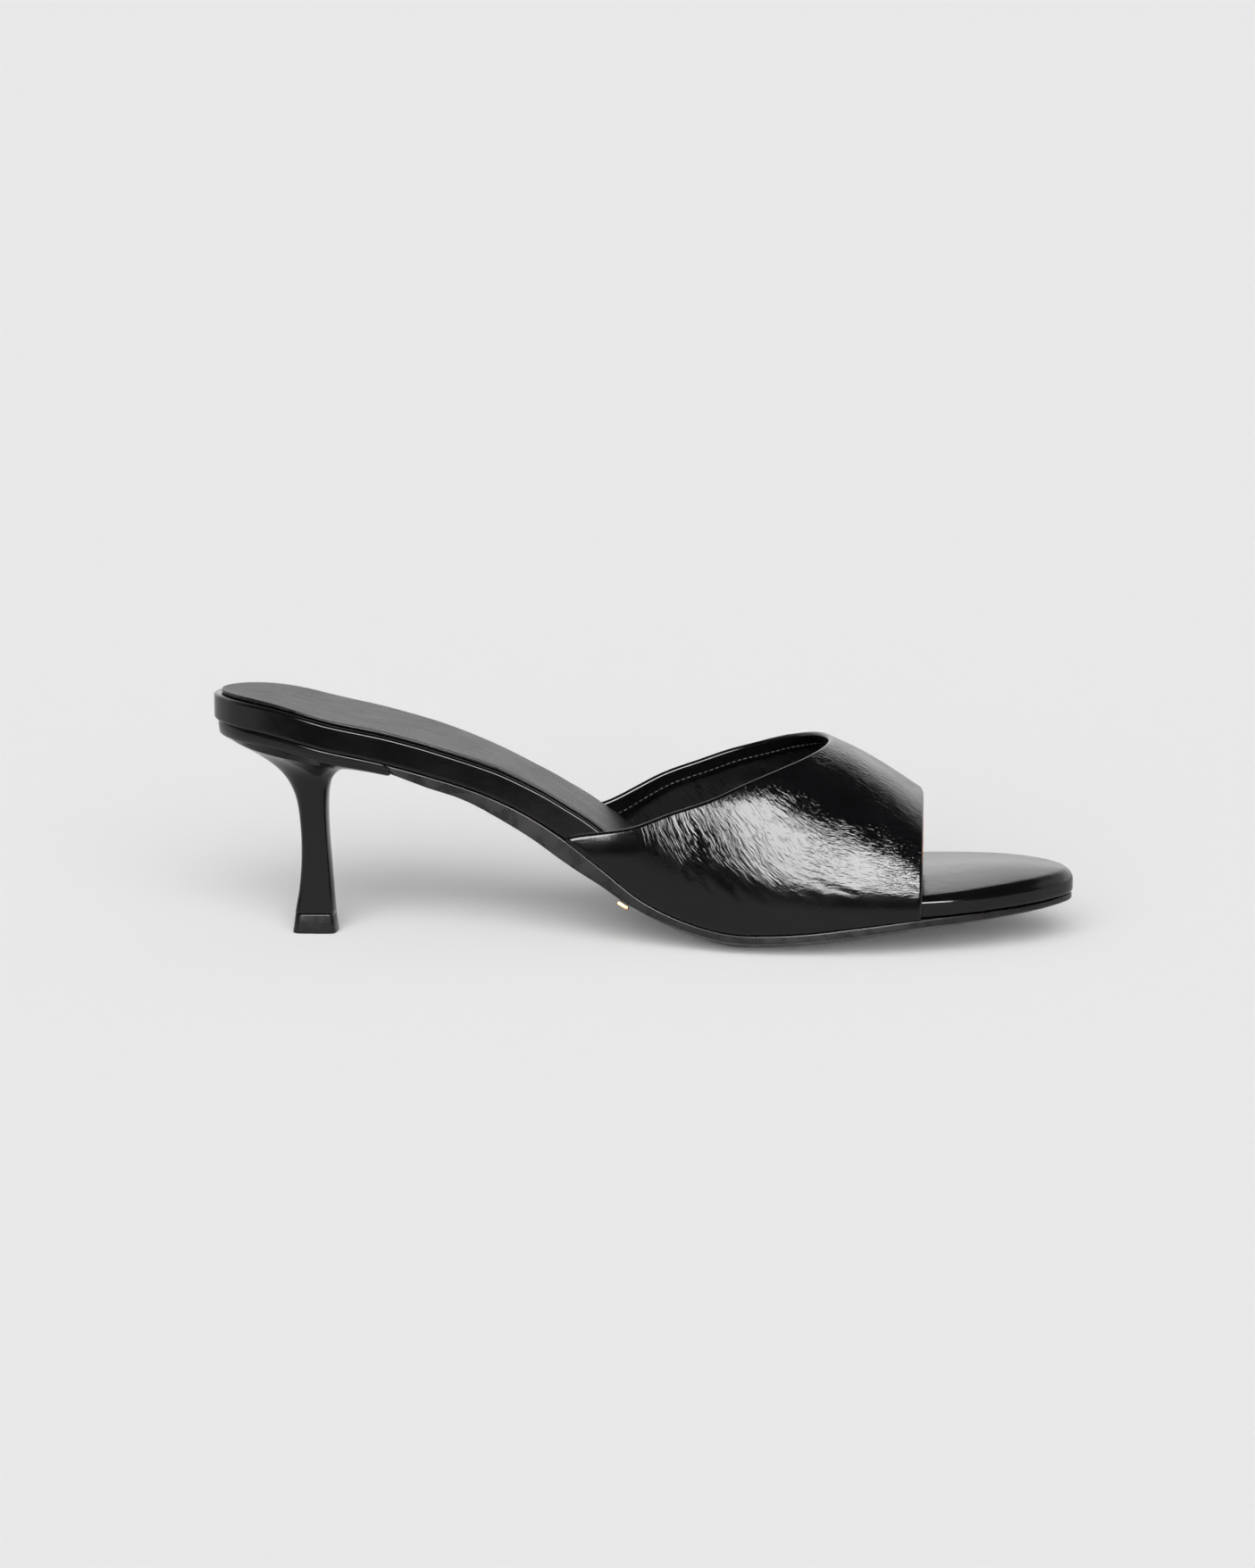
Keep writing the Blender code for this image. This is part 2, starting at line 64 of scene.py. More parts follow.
# %% Sizes
LENGTH = 0.240
SEAT_WIDTH = 0.0525
WAIST_WIDTH = 0.0490
BALL_WIDTH = 0.0730
HEEL_HEIGHT = 0.0606
INSTEP_HEIGHT = 0.0558
TOE_SPRING = 0.0077
BOARD = 0.0080
BOARD_UNDER_ROUND = 0.0008
SOLE = 0.0023
SOLE_ROUND = 0.0005
SOLE_UNDER_ROUND = 0.0003
SOLE_OVERHANG = 0.0016
TREAD_LIFT = 0.0043
EDGE_OVER_TREAD = 0.884
ARCH_TWIST = 0.0022
TOE_CROWN = 0.0033
SOCK = 0.0008
SOCK_ROUND = 0.0004
SOCK_INSET = 0.0022
SOCK_LENGTH = 0.1780
WALL = 0.0018
ARCH_POWER = 2.3
OPENING_ALONG = 0.8285
OPENING_LEAN = 0.0018
SEAT_LENGTH = 0.0496
BAND = 0.0039
BAND_INSET = 0.0011
BAND_ROUND = 0.0004
BAND_TAPER = 0.69
TOP_PIECE = 0.0055
TOP_PIECE_FLARE = 0.12
HEEL_BELLY = 0.62
HEEL_RAKE = 0.0022
GAP = 0.0003
FULL_WIDTH = 0.70
TIP_ACROSS = -0.092

# %% Plan of the platform: along, the width it is a share of, inner and outer half widths
PLAN = [
    (0.020, SEAT_WIDTH, 0.232, 0.232),
    (0.050, SEAT_WIDTH, 0.352, 0.352),
    (0.100, SEAT_WIDTH, 0.453, 0.453),
    (0.170, SEAT_WIDTH, 0.497, 0.503),
    (0.250, WAIST_WIDTH, 0.510, 0.535),
    (0.350, WAIST_WIDTH, 0.460, 0.500),
    (0.450, WAIST_WIDTH, 0.475, 0.535),
    (0.540, BALL_WIDTH, 0.385, 0.432),
    (0.630, BALL_WIDTH, 0.463, 0.486),
    (0.720, BALL_WIDTH, 0.502, 0.502),
    (0.825, BALL_WIDTH, 0.492, 0.474),
    (0.867, BALL_WIDTH, 0.462, 0.432),
    (0.915, BALL_WIDTH, 0.397, 0.345),
    (0.9625, BALL_WIDTH, 0.292, 0.198),
]

# %% Side view: along, rise, spring, twist, lift, sole, board, crown
SIDE = [
    (0.000, 1.000, 0.000, 0.00, 0.00, 0.80, 0.92, -0.06),
    (0.075, 0.961, 0.000, 0.00, 0.00, 0.80, 0.92, -0.12),
    (0.135, 0.899, 0.000, 0.18, 0.00, 0.80, 0.91, -0.15),
    (0.195, 0.844, 0.000, 0.34, 0.00, 0.80, 0.91, -0.15),
    (0.255, 0.770, 0.000, 0.50, 0.08, 1.35, 0.90, -0.12),
    (0.295, 0.713, 0.000, 0.64, 0.12, 1.45, 0.87, -0.09),
    (0.335, 0.641, 0.000, 0.80, 0.18, 1.90, 0.88, -0.09),
    (0.380, 0.535, 0.000, 0.96, 0.24, 2.15, 0.88, -0.09),
    (0.410, 0.446, 0.000, 1.00, 0.30, 2.20, 0.91, -0.15),
    (0.455, 0.296, 0.000, 1.00, 0.38, 1.65, 0.98, -0.10),
    (0.495, 0.162, 0.000, 0.80, 0.50, 1.25, 0.92, 0.00),
    (0.540, 0.066, 0.000, 0.40, 0.75, 1.03, 0.83, 0.10),
    (0.573, 0.022, 0.000, 0.15, 0.90, 1.00, 0.78, 0.20),
    (0.604, 0.000, 0.000, 0.00, 1.00, 1.00, 0.76, 0.30),
    (0.646, 0.000, 0.013, 0.00, 1.00, 1.00, 0.75, 0.50),
    (0.688, 0.000, 0.117, 0.00, 1.00, 1.00, 0.75, 0.70),
    (0.742, 0.000, 0.338, 0.00, 0.97, 1.00, 0.75, 0.90),
    (0.800, 0.000, 0.571, 0.00, 0.88, 1.00, 0.71, 1.00),
    (0.867, 0.000, 0.753, 0.00, 0.72, 0.94, 0.67, 1.00),
    (0.925, 0.000, 0.870, 0.00, 0.55, 0.78, 0.68, 0.90),
    (1.000, 0.000, 1.000, 0.00, 0.30, 0.65, 0.70, 0.40),
]

# %% Ridge of the vamp: along, height
RIDGE = [
    (0.410, 1.830),
    (0.454, 1.738),
    (0.504, 1.595),
    (0.575, 1.389),
    (0.648, 1.183),
    (0.683, 1.084),
    (0.717, 1.000),
    (0.750, 0.931),
    (0.788, 0.835),
    (0.827, 0.722),
]

# %% Rear edge of the vamp: turn of the arch from the feather line to the ridge, along
TOPLINE = [
    (0.000, 0.4104),
    (0.070, 0.4565),
    (0.217, 0.5333),
    (0.300, 0.5750),
    (0.393, 0.6125),
    (0.497, 0.6475),
    (0.607, 0.6750),
    (0.760, 0.7008),
    (0.903, 0.7138),
    (1.000, 0.7167),
]

# %% How much further back the rear edge runs on the outer side: turn, along
OUTER_BACK = [
    (0.000, 0.0050),
    (0.070, 0.0080),
    (0.150, 0.0150),
    (0.250, 0.0175),
    (0.350, 0.0130),
    (0.450, 0.0065),
    (0.600, 0.0035),
    (0.800, 0.0015),
    (1.000, 0.0000),
]

# %% Outsole's edge beside the platform's: along, out
OVERHANG = [
    (0.190, -0.50),
    (0.380, -0.45),
    (0.425, 0.45),
    (0.480, 1.00),
    (0.540, 1.00),
    (0.740, 1.00),
    (0.790, 0.90),
    (0.840, 0.10),
    (0.900, -0.20),
    (1.000, -0.20),
]

# %% Heel under its band: back, back height, front, front height, half width, rear and breast powers
HEEL = [
    (0.099, 0.900, 0.877, 0.775, 0.400, 2.0, 3.0),
    (0.202, 0.845, 0.786, 0.768, 0.301, 2.0, 3.0),
    (0.298, 0.788, 0.730, 0.750, 0.221, 2.2, 3.0),
    (0.375, 0.728, 0.684, 0.718, 0.168, 2.4, 3.0),
    (0.431, 0.655, 0.653, 0.664, 0.131, 2.8, 3.2),
    (0.466, 0.563, 0.641, 0.563, 0.108, 3.4, 5.0),
    (0.484, 0.416, 0.645, 0.416, 0.099, 4.2, 7.0),
    (0.486, 0.270, 0.657, 0.270, 0.096, 5.0, 9.0),
    (0.474, 0.132, 0.668, 0.132, 0.097, 6.0, 10.0),
    (0.450, 0.000, 0.678, 0.000, 0.100, 7.0, 10.0),
]

# %% [markdown]
# ## Surfaces from the tables
#
# The same few functions give the edge of the platform in plan, the height of its underside and the
# height of the foot bed. They take whole arrays of points, so a fine mesh costs no time.


# %% Smooth curves through the tables
def slopes(along, values):
    """Slopes of a smooth curve through the values."""
    run = np.diff(along)
    grade = np.diff(values, axis=0) / run
    inside = (grade[:-1] * run[1:] + grade[1:] * run[:-1]) / (run[:-1] + run[1:])
    return np.concatenate([grade[:1], inside, grade[-1:]])


def curve(along, values, level_end=False):
    """A smooth curve through a column, as a function of the place along it."""
    along = np.array(along, float)
    values = np.array(values, float)
    slope = slopes(along, values)
    if level_end:
        slope[-1] = 0.0

    def at(place):
        place = np.clip(place, along[0], along[-1])
        row = np.clip(np.searchsorted(along, place) - 1, 0, len(along) - 2)
        run = along[row + 1] - along[row]
        t = (place - along[row]) / run
        start = (1 + 2 * t) * (1 - t) ** 2 * values[row] + t * (1 - t) ** 2 * run * slope[row]
        end = t * t * (3 - 2 * t) * values[row + 1] + t * t * (t - 1) * run * slope[row + 1]
        return start + end

    return at


def column(table, place, scale=LENGTH):
    """One column of a table as a curve over the length."""
    return curve([row[0] * scale for row in table], [row[place] for row in table])


RISE, SPRING, TWIST, LIFT, SOLE_SHARE, BOARD_SHARE, CROWN = (column(SIDE, i) for i in range(1, 8))
RIDGE_HEIGHT = column(RIDGE, 1)
OUT_SHARE = column(OVERHANG, 1)
TOPLINE_AT = curve(*zip(*TOPLINE), level_end=True)
OUTER_BACK_AT = curve(*zip(*OUTER_BACK), level_end=True)


# %% Plan of the platform's edge
EDGE_STEPS = 80


def plan_side(side):
    """Dense points and outward normals of the platform's edge on one side, from back to tip."""
    rows = [(row[0] * LENGTH, side * row[3 if side > 0 else 2] * row[1]) for row in PLAN]
    points = np.array([(0.0, 0.0)] + rows + [(LENGTH, TIP_ACROSS * BALL_WIDTH)])
    chord = np.concatenate([[0.0], np.cumsum(np.linalg.norm(np.diff(points, axis=0), axis=1))])
    slope = np.stack([slopes(chord, points[:, 0]), slopes(chord, points[:, 1])], axis=1)
    slope[0] = (0.0, side)
    slope[-1] = (0.0, -side)
    dense = []
    tangent = []
    for i in range(len(points) - 1):
        run = chord[i + 1] - chord[i]
        t = np.linspace(0.0, 1.0, EDGE_STEPS, endpoint=i == len(points) - 2)[:, None]
        dense.append((1 + 2 * t) * (1 - t) ** 2 * points[i] + t * (1 - t) ** 2 * run * slope[i]
                     + t * t * (3 - 2 * t) * points[i + 1] + t * t * (t - 1) * run * slope[i + 1])
        tangent.append((6 * t * t - 6 * t) * (points[i] - points[i + 1]) / run
                       + (1 - 4 * t + 3 * t * t) * slope[i] + (3 * t * t - 2 * t) * slope[i + 1])
    tangent = np.concatenate(tangent)
    tangent /= np.linalg.norm(tangent, axis=1)[:, None]
    return np.concatenate(dense), np.stack([-side * tangent[:, 1], side * tangent[:, 0]], axis=1)


EDGE = {side: plan_side(side) for side in (-1, 1)}
MIDDLE = (EDGE[1][0][:, 1].max() + EDGE[-1][0][:, 1].min()) / 2


def edge_point(x, side, out):
    """The platform's edge at x, moved outwards in plan, as arrays of x and y."""
    dense, normal = EDGE[side]
    turn = np.array([np.interp(x, dense[:, 0], normal[:, i]) for i in (0, 1)])
    turn /= np.linalg.norm(turn, axis=0)
    return x + out * turn[0], np.interp(x, dense[:, 0], dense[:, 1]) + out * turn[1]


def edge_across(x, side, out=0.0):
    """Where the platform's edge, moved outwards in plan, crosses x."""
    dense, normal = EDGE[side]
    lean = np.maximum(abs(np.interp(x, dense[:, 0], normal[:, 1])), 0.1)
    return np.interp(x, dense[:, 0], dense[:, 1]) + side * out / lean


def share_across(x, y):
    """Where y lies between the platform's edges at x: -1 at the inner edge, 1 at the outer one."""
    inner, outer = edge_across(x, -1), edge_across(x, 1)
    return np.clip((2 * y - inner - outer) / np.maximum(outer - inner, 1e-5), -1.0, 1.0)


# %% Heights of the layers
def feather(x, across=-1.0):
    """Height of the last's lower edge at x."""
    ball = SOLE + EDGE_OVER_TREAD * TREAD_LIFT
    inner = ball + RISE(x) * (HEEL_HEIGHT - ball) + SPRING(x) * TOE_SPRING
    return inner - TWIST(x) * ARCH_TWIST * (1 + across) / 2


def upright(x):
    """Height that a thickness of 1, square to the bottom, takes up at x."""
    step = LENGTH / 500
    ahead, behind = np.minimum(x + step, LENGTH), np.maximum(x - step, 0.0)
    return np.sqrt(1 + ((feather(ahead) - feather(behind)) / (2 * step)) ** 2)


def fullness(x):
    """Falls from 1 to 0 where the foot bed narrows to its back and its tip."""
    width = edge_across(x, 1) - edge_across(x, -1)
    return 1 - (1 - np.minimum(1.0, width / (FULL_WIDTH * BALL_WIDTH))) ** 2


def seat_line(x, y):
    """Height where platform and outsole meet."""
    across = share_across(x, y)
    return feather(x, across) - LIFT(x) * TREAD_LIFT * fullness(x) * (1 - across ** 4)


def foot_bed(x, y):
    """Height of the platform's top, dished at the seat and crowned at the toe."""
    across = share_across(x, y)
    edge = feather(x, across) + GAP + BOARD_SHARE(x) * BOARD * upright(x)
    return edge + CROWN(x) * TOE_CROWN * fullness(x) * (1 - across ** 2)


def tread(x, y):
    """Height of the outsole's underside, flat where it meets the floor."""
    return np.maximum(0.0, seat_line(x, y) - SOLE_SHARE(x) * SOLE * upright(x))


def world(x, y, z):
    """Shoe coordinates, measured from the back of the heel, as points in the frame."""
    return np.stack(np.broadcast_arrays(x - LENGTH / 2, y - MIDDLE, z), axis=-1)


# %% [markdown]
# ## A grid that wraps a form
#
# Leather is a sheet, so every leather piece starts as Blender's grid primitive. Its points are sent
# to their places by one of the functions above, the sides that meet are merged, and a UV map keeps
# the real distances along and across the piece, in metres, for the grain to follow.


# %% Helpers for meshes
def only(piece):
    """Selects one piece and makes it active."""
    bpy.ops.object.select_all(action="DESELECT")
    piece.select_set(True)
    bpy.context.view_layer.objects.active = piece


def wrapped_grid(name, points, along=None, across=None, bands=None, weld=2e-6):
    """A grid primitive sent to the points, an array of rows by columns by three.

    The bands give each row of faces its place in the piece's list of materials.
    """
    rows, columns = points.shape[:2]
    bpy.ops.object.select_all(action="DESELECT")
    bpy.ops.mesh.primitive_grid_add(x_subdivisions=columns - 1, y_subdivisions=rows - 1, size=2.0)
    piece = bpy.context.object
    piece.name = piece.data.name = name
    mesh = piece.data
    flat = np.zeros(len(mesh.vertices) * 3)
    mesh.vertices.foreach_get("co", flat)
    flat = flat.reshape(-1, 3)
    j = np.rint((flat[:, 0] + 1) / 2 * (columns - 1)).astype(int)
    i = np.rint((flat[:, 1] + 1) / 2 * (rows - 1)).astype(int)
    mesh.vertices.foreach_set("co", points[i, j].ravel())
    if along is not None:
        corner = np.zeros(len(mesh.loops), int)
        mesh.loops.foreach_get("vertex_index", corner)
        uv = np.stack([along[i, j], across[i, j]], axis=1)[corner]
        mesh.uv_layers[0].data.foreach_set("uv", uv.ravel())
    if bands is not None:
        for face in mesh.polygons:
            face.material_index = bands[min(i[v] for v in face.vertices)]
    only(piece)
    bpy.ops.object.mode_set(mode="EDIT")
    bpy.ops.mesh.select_all(action="SELECT")
    bpy.ops.mesh.remove_doubles(threshold=weld)
    bpy.ops.mesh.normals_make_consistent(inside=False)
    bpy.ops.object.mode_set(mode="OBJECT")
    bpy.ops.object.shade_smooth()
    mesh.update()
    print(name, "has", len(mesh.polygons), "faces")
    return piece


def dress(piece, materials, slot, *nodes):
    """Gives a finished piece its materials and body, hides the nodes it stands for; the slot is not used.
    """
    for material in materials:
        piece.data.materials.append(material)
    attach(piece, "root")
    if nodes:
        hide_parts(*nodes)
    return piece


def close_ends(piece):
    """Fills the open ends of a wrapped grid."""
    only(piece)
    bpy.ops.object.mode_set(mode="EDIT")
    bpy.ops.mesh.select_mode(type="EDGE")
    bpy.ops.mesh.select_all(action="DESELECT")
    bpy.ops.mesh.select_non_manifold()
    bpy.ops.mesh.fill_holes(sides=0)
    bpy.ops.mesh.select_all(action="SELECT")
    bpy.ops.mesh.normals_make_consistent(inside=False)
    bpy.ops.object.mode_set(mode="OBJECT")


# %% Rings round a flat layer
ACROSS_STEPS = 28
ROUND_STEPS = 8
ROUND_END = 0.9999
WALL_ROWS = 2 * ROUND_STEPS + 2
HOLD = 0.00015
QUARTER = math.pi / 2


def edge_bands(count):
    """A band for each row of a layer's ring: 1 on the two walls, 0 on both faces."""
    bands = np.zeros(count, int)
    bands[ACROSS_STEPS:ACROSS_STEPS + WALL_ROWS + 1] = 1
    bands[2 * ACROSS_STEPS + WALL_ROWS + 1:] = 1
    return bands


def layer_ring(x, out, low, high, round_low, round_high, rake=0.0, lean=0.0):
    """Closed rings round a flat layer, a column for each place along the shoe.

    Both edges are rounded, the lower one to just short of a quarter turn, and two rows close to them
    hold the wall between them flat. The upper rounding may start with a crease, where it leans, and
    the lower face may be raked forwards.
    """

    def at(side, inset):
        return edge_point(x, side, out - inset)

    def face_row(inset, face, order, shift):
        inner, outer = at(-1, inset), at(1, inset)
        rows = []
        for t in order:
            px = inner[0] * (1 - t) + outer[0] * t
            py = inner[1] * (1 - t) + outer[1] * t
            rows.append(world(px + shift, py, face(px, py)))
        return rows

    def wall_row(side, inset, face, rise, shift=0.0):
        px, py = at(side, inset)
        return world(px + shift, py, face(px, py) + rise)

    def wall(side):
        rows = []
        for share in np.linspace(0, 1, ROUND_STEPS + 1)[1:] * ROUND_END:
            turn = share * QUARTER
            rows.append(wall_row(side, round_low * (1 - math.sin(turn)), low,
                                 round_low * (1 - math.cos(turn)), rake * (1 - share / 2)))
        crease = round_high * (1 - math.sin(lean))
        rows.append(wall_row(side, 0.0, low, round_low + HOLD, rake * 0.5))
        rows.append(wall_row(side, 0.0, high, -crease - HOLD))
        for share in np.linspace(0, 1, ROUND_STEPS + 1)[:-1]:
            turn = lean + share * (QUARTER - lean)
            rows.append(wall_row(side, round_high * (math.cos(lean) - math.cos(turn)), high,
                                 -round_high * (1 - math.sin(turn))))
        return rows

    order = np.linspace(0.0, 1.0, ACROSS_STEPS + 1)
    ring = face_row(round_low, low, order, rake) + wall(1)
    ring += face_row(round_high * math.cos(lean), high, order[::-1], 0.0) + wall(-1)[::-1]
    return np.array(ring + ring[:1])


# %% [markdown]
# ## Platform
#
# The insole board is wrapped in the same glossy leather as the vamp. Its wall stands upright. The
# leather is creased along the wall's top and rounded above that, which draws one thin bright line
# along the shoe. In the open toe the top shows, crowned and with a wider rounding.


# %% Platform
PLATFORM_STEPS = 240
EDGE_ROUND = [(0.74, 0.0012), (0.83, 0.0024), (0.90, 0.0033)]
RIM_LEAN = math.radians(22)


def make_platform():
    x = LENGTH * ((1 - np.cos(np.linspace(0.0, math.pi, PLATFORM_STEPS))) / 2)
    rounded = np.interp(x / LENGTH, *zip(*EDGE_ROUND))
    points = layer_ring(x, 0.0, lambda x, y: seat_line(x, y) + GAP, foot_bed,
                        BOARD_UNDER_ROUND, rounded, lean=RIM_LEAN)
    return wrapped_grid("platform_cover", points, points[..., 0], points[..., 1])


platform = make_platform()

# %% [markdown]
# ## Sock
#
# The sock lining is thin leather over foam. It lies a little inside the platform's edge, swells
# towards its middle, and its near edge isn't quite straight where it was pressed down by hand.


# %% Sock
SOCK_SWELL = 0.0003
SOCK_STEPS = 200
LONG_WAVE, LONG_WAVE_RUN, LONG_WAVE_FADE = 0.00016, 0.0115, 0.031
SHORT_WAVE, SHORT_WAVE_RUN, SHORT_WAVE_SLANT = 0.0001, 0.0052, 0.02


def sock_waves(x, y):
    """Small unevenness of the edge where foam and leather are pressed down."""
    long_wave = LONG_WAVE * np.sin(x / LONG_WAVE_RUN + 1.3) * np.sin(x / LONG_WAVE_FADE)
    return long_wave + SHORT_WAVE * np.sin(x / SHORT_WAVE_RUN + y / SHORT_WAVE_SLANT)


def sock_top(x, y):
    across = share_across(x, y)
    swell = SOCK_SWELL * fullness(x) * np.clip(1 - across ** 2, 0, 1) ** 0.8
    return foot_bed(x, y) + GAP + (SOCK + sock_waves(x, y)) * upright(x) + swell


def make_sock():
    turn = np.linspace(0.0, QUARTER, SOCK_STEPS)
    x = SOCK_LENGTH * (1 - np.cos(turn))
    points = layer_ring(x, -SOCK_INSET, lambda x, y: foot_bed(x, y) + GAP, sock_top,
                        SOCK_ROUND * 0.5, SOCK_ROUND)
    piece = wrapped_grid("sock_lining", points, points[..., 0], points[..., 1], edge_bands(len(points)))
    close_ends(piece)
    return piece


sock = make_sock()

# %% [markdown]
# ## Outsole
#
# The outsole is thin leather with a painted edge. It starts behind the waist with a slanted cut
# against the heel's lip, runs in under the waist, stands out under the vamp and turns up at the toe.


# %% Outsole
SOLE_STEPS = 220
CUT_REACH = 0.0006


def make_outsole():
    start = SEAT_LENGTH + GAP
    turn = np.linspace(0.0, QUARTER, SOLE_STEPS)
    x = start + (LENGTH - start) * np.sin(turn)
    rake = HEEL_RAKE * np.exp(-((x - start) / CUT_REACH) ** 2)
    points = layer_ring(x, OUT_SHARE(x) * SOLE_OVERHANG, tread, seat_line, SOLE_UNDER_ROUND, SOLE_ROUND,
                        rake=rake)
    piece = wrapped_grid("outsole_leather", points, points[..., 0], points[..., 1], edge_bands(len(points)))
    close_ends(piece)
    return piece


outsole = make_outsole()

# %% [markdown]
# ## Vamp
#
# The vamp is one broad piece of leather, lasted over the forefoot. Its edges are turned in: the outer
# leather rolls over the rear edge and comes back as a narrow facing, sewn to a soft lining. So the
# wall is modelled as one closed loop in section, outside, round the toe opening, back along the
# lining, over the step of the facing and round the rear edge.

# %% Vamp: its form and its sections
VAMP_SIDES = 290
OUTER_STEPS = 220
LINING_STEPS = 84
FACING_STEPS = 10
TURN_STEPS = 8
FACING = 0.0042
FACING_STEP = 0.00035
EDGE_RADIUS = WALL / 2
REAR_CURL = 0.00045
REAR_CURL_REACH = 0.0065
LEAST_SLANT = 0.35
STEP_ALONG = 1e-5
STEP_ACROSS = 0.003
LAST_SHARE = 0.995
LINING_RAMP = 6
SPAN_MEASURED_AT = 0.70


def arch(x, share):
    """Outer face of the vamp, share going from -1 at the inner feather line to 1 at the outer one."""
    side = np.where(share > 0, 1.0, -1.0)
    turn = 1 - abs(share)
    base = feather(x, side) + GAP
    foot = np.where(side > 0, edge_across(x, 1, GAP + WALL), edge_across(x, -1, GAP + WALL))
    across = foot * np.cos(turn * math.pi / 2) ** (2 / ARCH_POWER)
    rise = (RIDGE_HEIGHT(x) * INSTEP_HEIGHT - base) * np.sin(turn * math.pi / 2) ** (2 / ARCH_POWER)
    return world(x, across, base + rise)


def unit(vectors):
    return vectors / np.maximum(np.linalg.norm(vectors, axis=-1, keepdims=True), 1e-12)


def vamp_frame(x, share):
    """Point, outward normal and direction towards the toe, everywhere on the vamp."""
    point = arch(x, share)
    ahead = unit(arch(x + STEP_ALONG, share) - arch(x - STEP_ALONG, share))
    inside = np.clip(share, -LAST_SHARE, LAST_SHARE)
    beside = unit(arch(x, inside + STEP_ACROSS) - arch(x, inside - STEP_ACROSS))
    return point, unit(np.cross(ahead, beside)), ahead


share = np.linspace(-1.0, 1.0, VAMP_SIDES + 1)
turn = 1 - abs(share)
rear = (TOPLINE_AT(turn) - np.where(share > 0, OUTER_BACK_AT(turn), 0.0)) * LENGTH
front = OPENING_ALONG * LENGTH - OPENING_LEAN * (1 - turn)
rear_line = arch(rear, share)
slant = np.linalg.norm(np.cross(unit(np.gradient(rear_line, axis=0)), vamp_frame(rear, share)[2]), axis=1)
slant = np.maximum(slant, LEAST_SLANT)
curled = np.clip(0.5 - 2 * share, 0, 1)

# %% [markdown]
# ## Creases
#
# Soft leather that has been pulled over a last creases where the foot bends: long arcs round the
# instep at the inner side of the ball, and short level lines nearer the ridge. The main ones are
# soft troughs, each with a low ridge beside it. Their places were drafted along those arcs, then
# each was moved a little at random, and the outer side repeats two of three. Each row says where a
# crease starts and ends, how far it bows, its depth and its width. Places are thousandths of the
# length and of the arch's turn, the bow is in hundredths, the depth in hundredths of a millimetre and
# the width in tenths of one.

# %% Main creases: side, start along and turn, end along and turn, bow, depth, width
THOUSANDTH, HUNDREDTH = 1000, 100
DEPTH_UNIT, WIDTH_UNIT = 100000, 10000
OUTER_CREASES = [
    (-1, 506, 144, 519, 101, 5, 3, 12),
    (-1, 521, 189, 531, 125, 7, 2, 8),
    (-1, 528, 127, 544, 84, 14, 2, 9),
    (-1, 539, 219, 554, 155, 5, 3, 11),
    (-1, 545, 135, 560, 83, 15, 4, 10),
    (-1, 555, 242, 568, 180, 14, 3, 10),
    (-1, 563, 179, 577, 113, 14, 2, 8),
    (-1, 571, 104, 584, 70, 8, 4, 8),
    (-1, 579, 220, 595, 157, 8, 3, 9),
    (-1, 584, 161, 601, 90, 7, 4, 11),
    (-1, 594, 252, 608, 195, 5, 3, 12),
    (-1, 601, 119, 618, 64, 7, 4, 11),
    (-1, 604, 207, 626, 134, 8, 2, 10),
    (-1, 616, 143, 639, 90, 4, 2, 8),
    (-1, 624, 248, 639, 185, 16, 3, 9),
    (-1, 631, 98, 653, 70, 6, 2, 10),
    (-1, 635, 193, 656, 130, 13, 3, 12),
    (-1, 652, 236, 671, 179, 9, 2, 12),
    (-1, 657, 135, 677, 89, 7, 2, 9),
    (-1, 670, 189, 689, 150, 11, 4, 10),
    (-1, 682, 117, 710, 85, 10, 2, 9),
    (-1, 692, 171, 721, 120, 12, 4, 11),
    (-1, 704, 225, 731, 187, 7, 4, 12),
    (-1, 713, 138, 751, 102, 5, 4, 8),
    (-1, 729, 183, 755, 141, 12, 3, 11),
    (-1, 745, 245, 777, 220, 4, 4, 8),
    (-1, 767, 165, 802, 139, 15, 2, 11),
    (-1, 651, 366, 682, 325, 10, 2, 8),
    (-1, 669, 430, 702, 391, 6, 3, 11),
    (-1, 680, 512, 710, 474, 5, 3, 9),
    (-1, 697, 587, 728, 545, 16, 2, 8),
    (-1, 705, 406, 740, 354, 14, 4, 8),
    (1, 516, 145, 525, 109, 9, 4, 8),
    (1, 538, 115, 546, 80, 8, 3, 12),
    (1, 545, 207, 557, 151, 10, 3, 10),
    (1, 559, 231, 576, 173, 13, 4, 11),
    (1, 569, 182, 584, 120, 10, 4, 9),
    (1, 588, 230, 601, 159, 6, 4, 9),
    (1, 591, 149, 606, 91, 14, 2, 12),
    (1, 603, 116, 620, 71, 5, 3, 12),
    (1, 609, 202, 630, 128, 4, 2, 12),
    (1, 630, 255, 648, 195, 6, 3, 10),
    (1, 640, 112, 663, 74, 5, 3, 11),
    (1, 659, 242, 680, 183, 15, 3, 10),
    (1, 663, 138, 685, 89, 8, 3, 12),
    (1, 688, 113, 713, 86, 7, 3, 8),
    (1, 694, 166, 725, 123, 8, 4, 11),
    (1, 720, 123, 757, 106, 15, 3, 9),
    (1, 730, 176, 762, 150, 15, 4, 8),
    (1, 769, 157, 809, 134, 13, 3, 10),
    (1, 661, 356, 686, 321, 5, 2, 9),
    (1, 684, 513, 717, 467, 15, 3, 11),
    (1, 702, 597, 738, 548, 11, 3, 11),
]
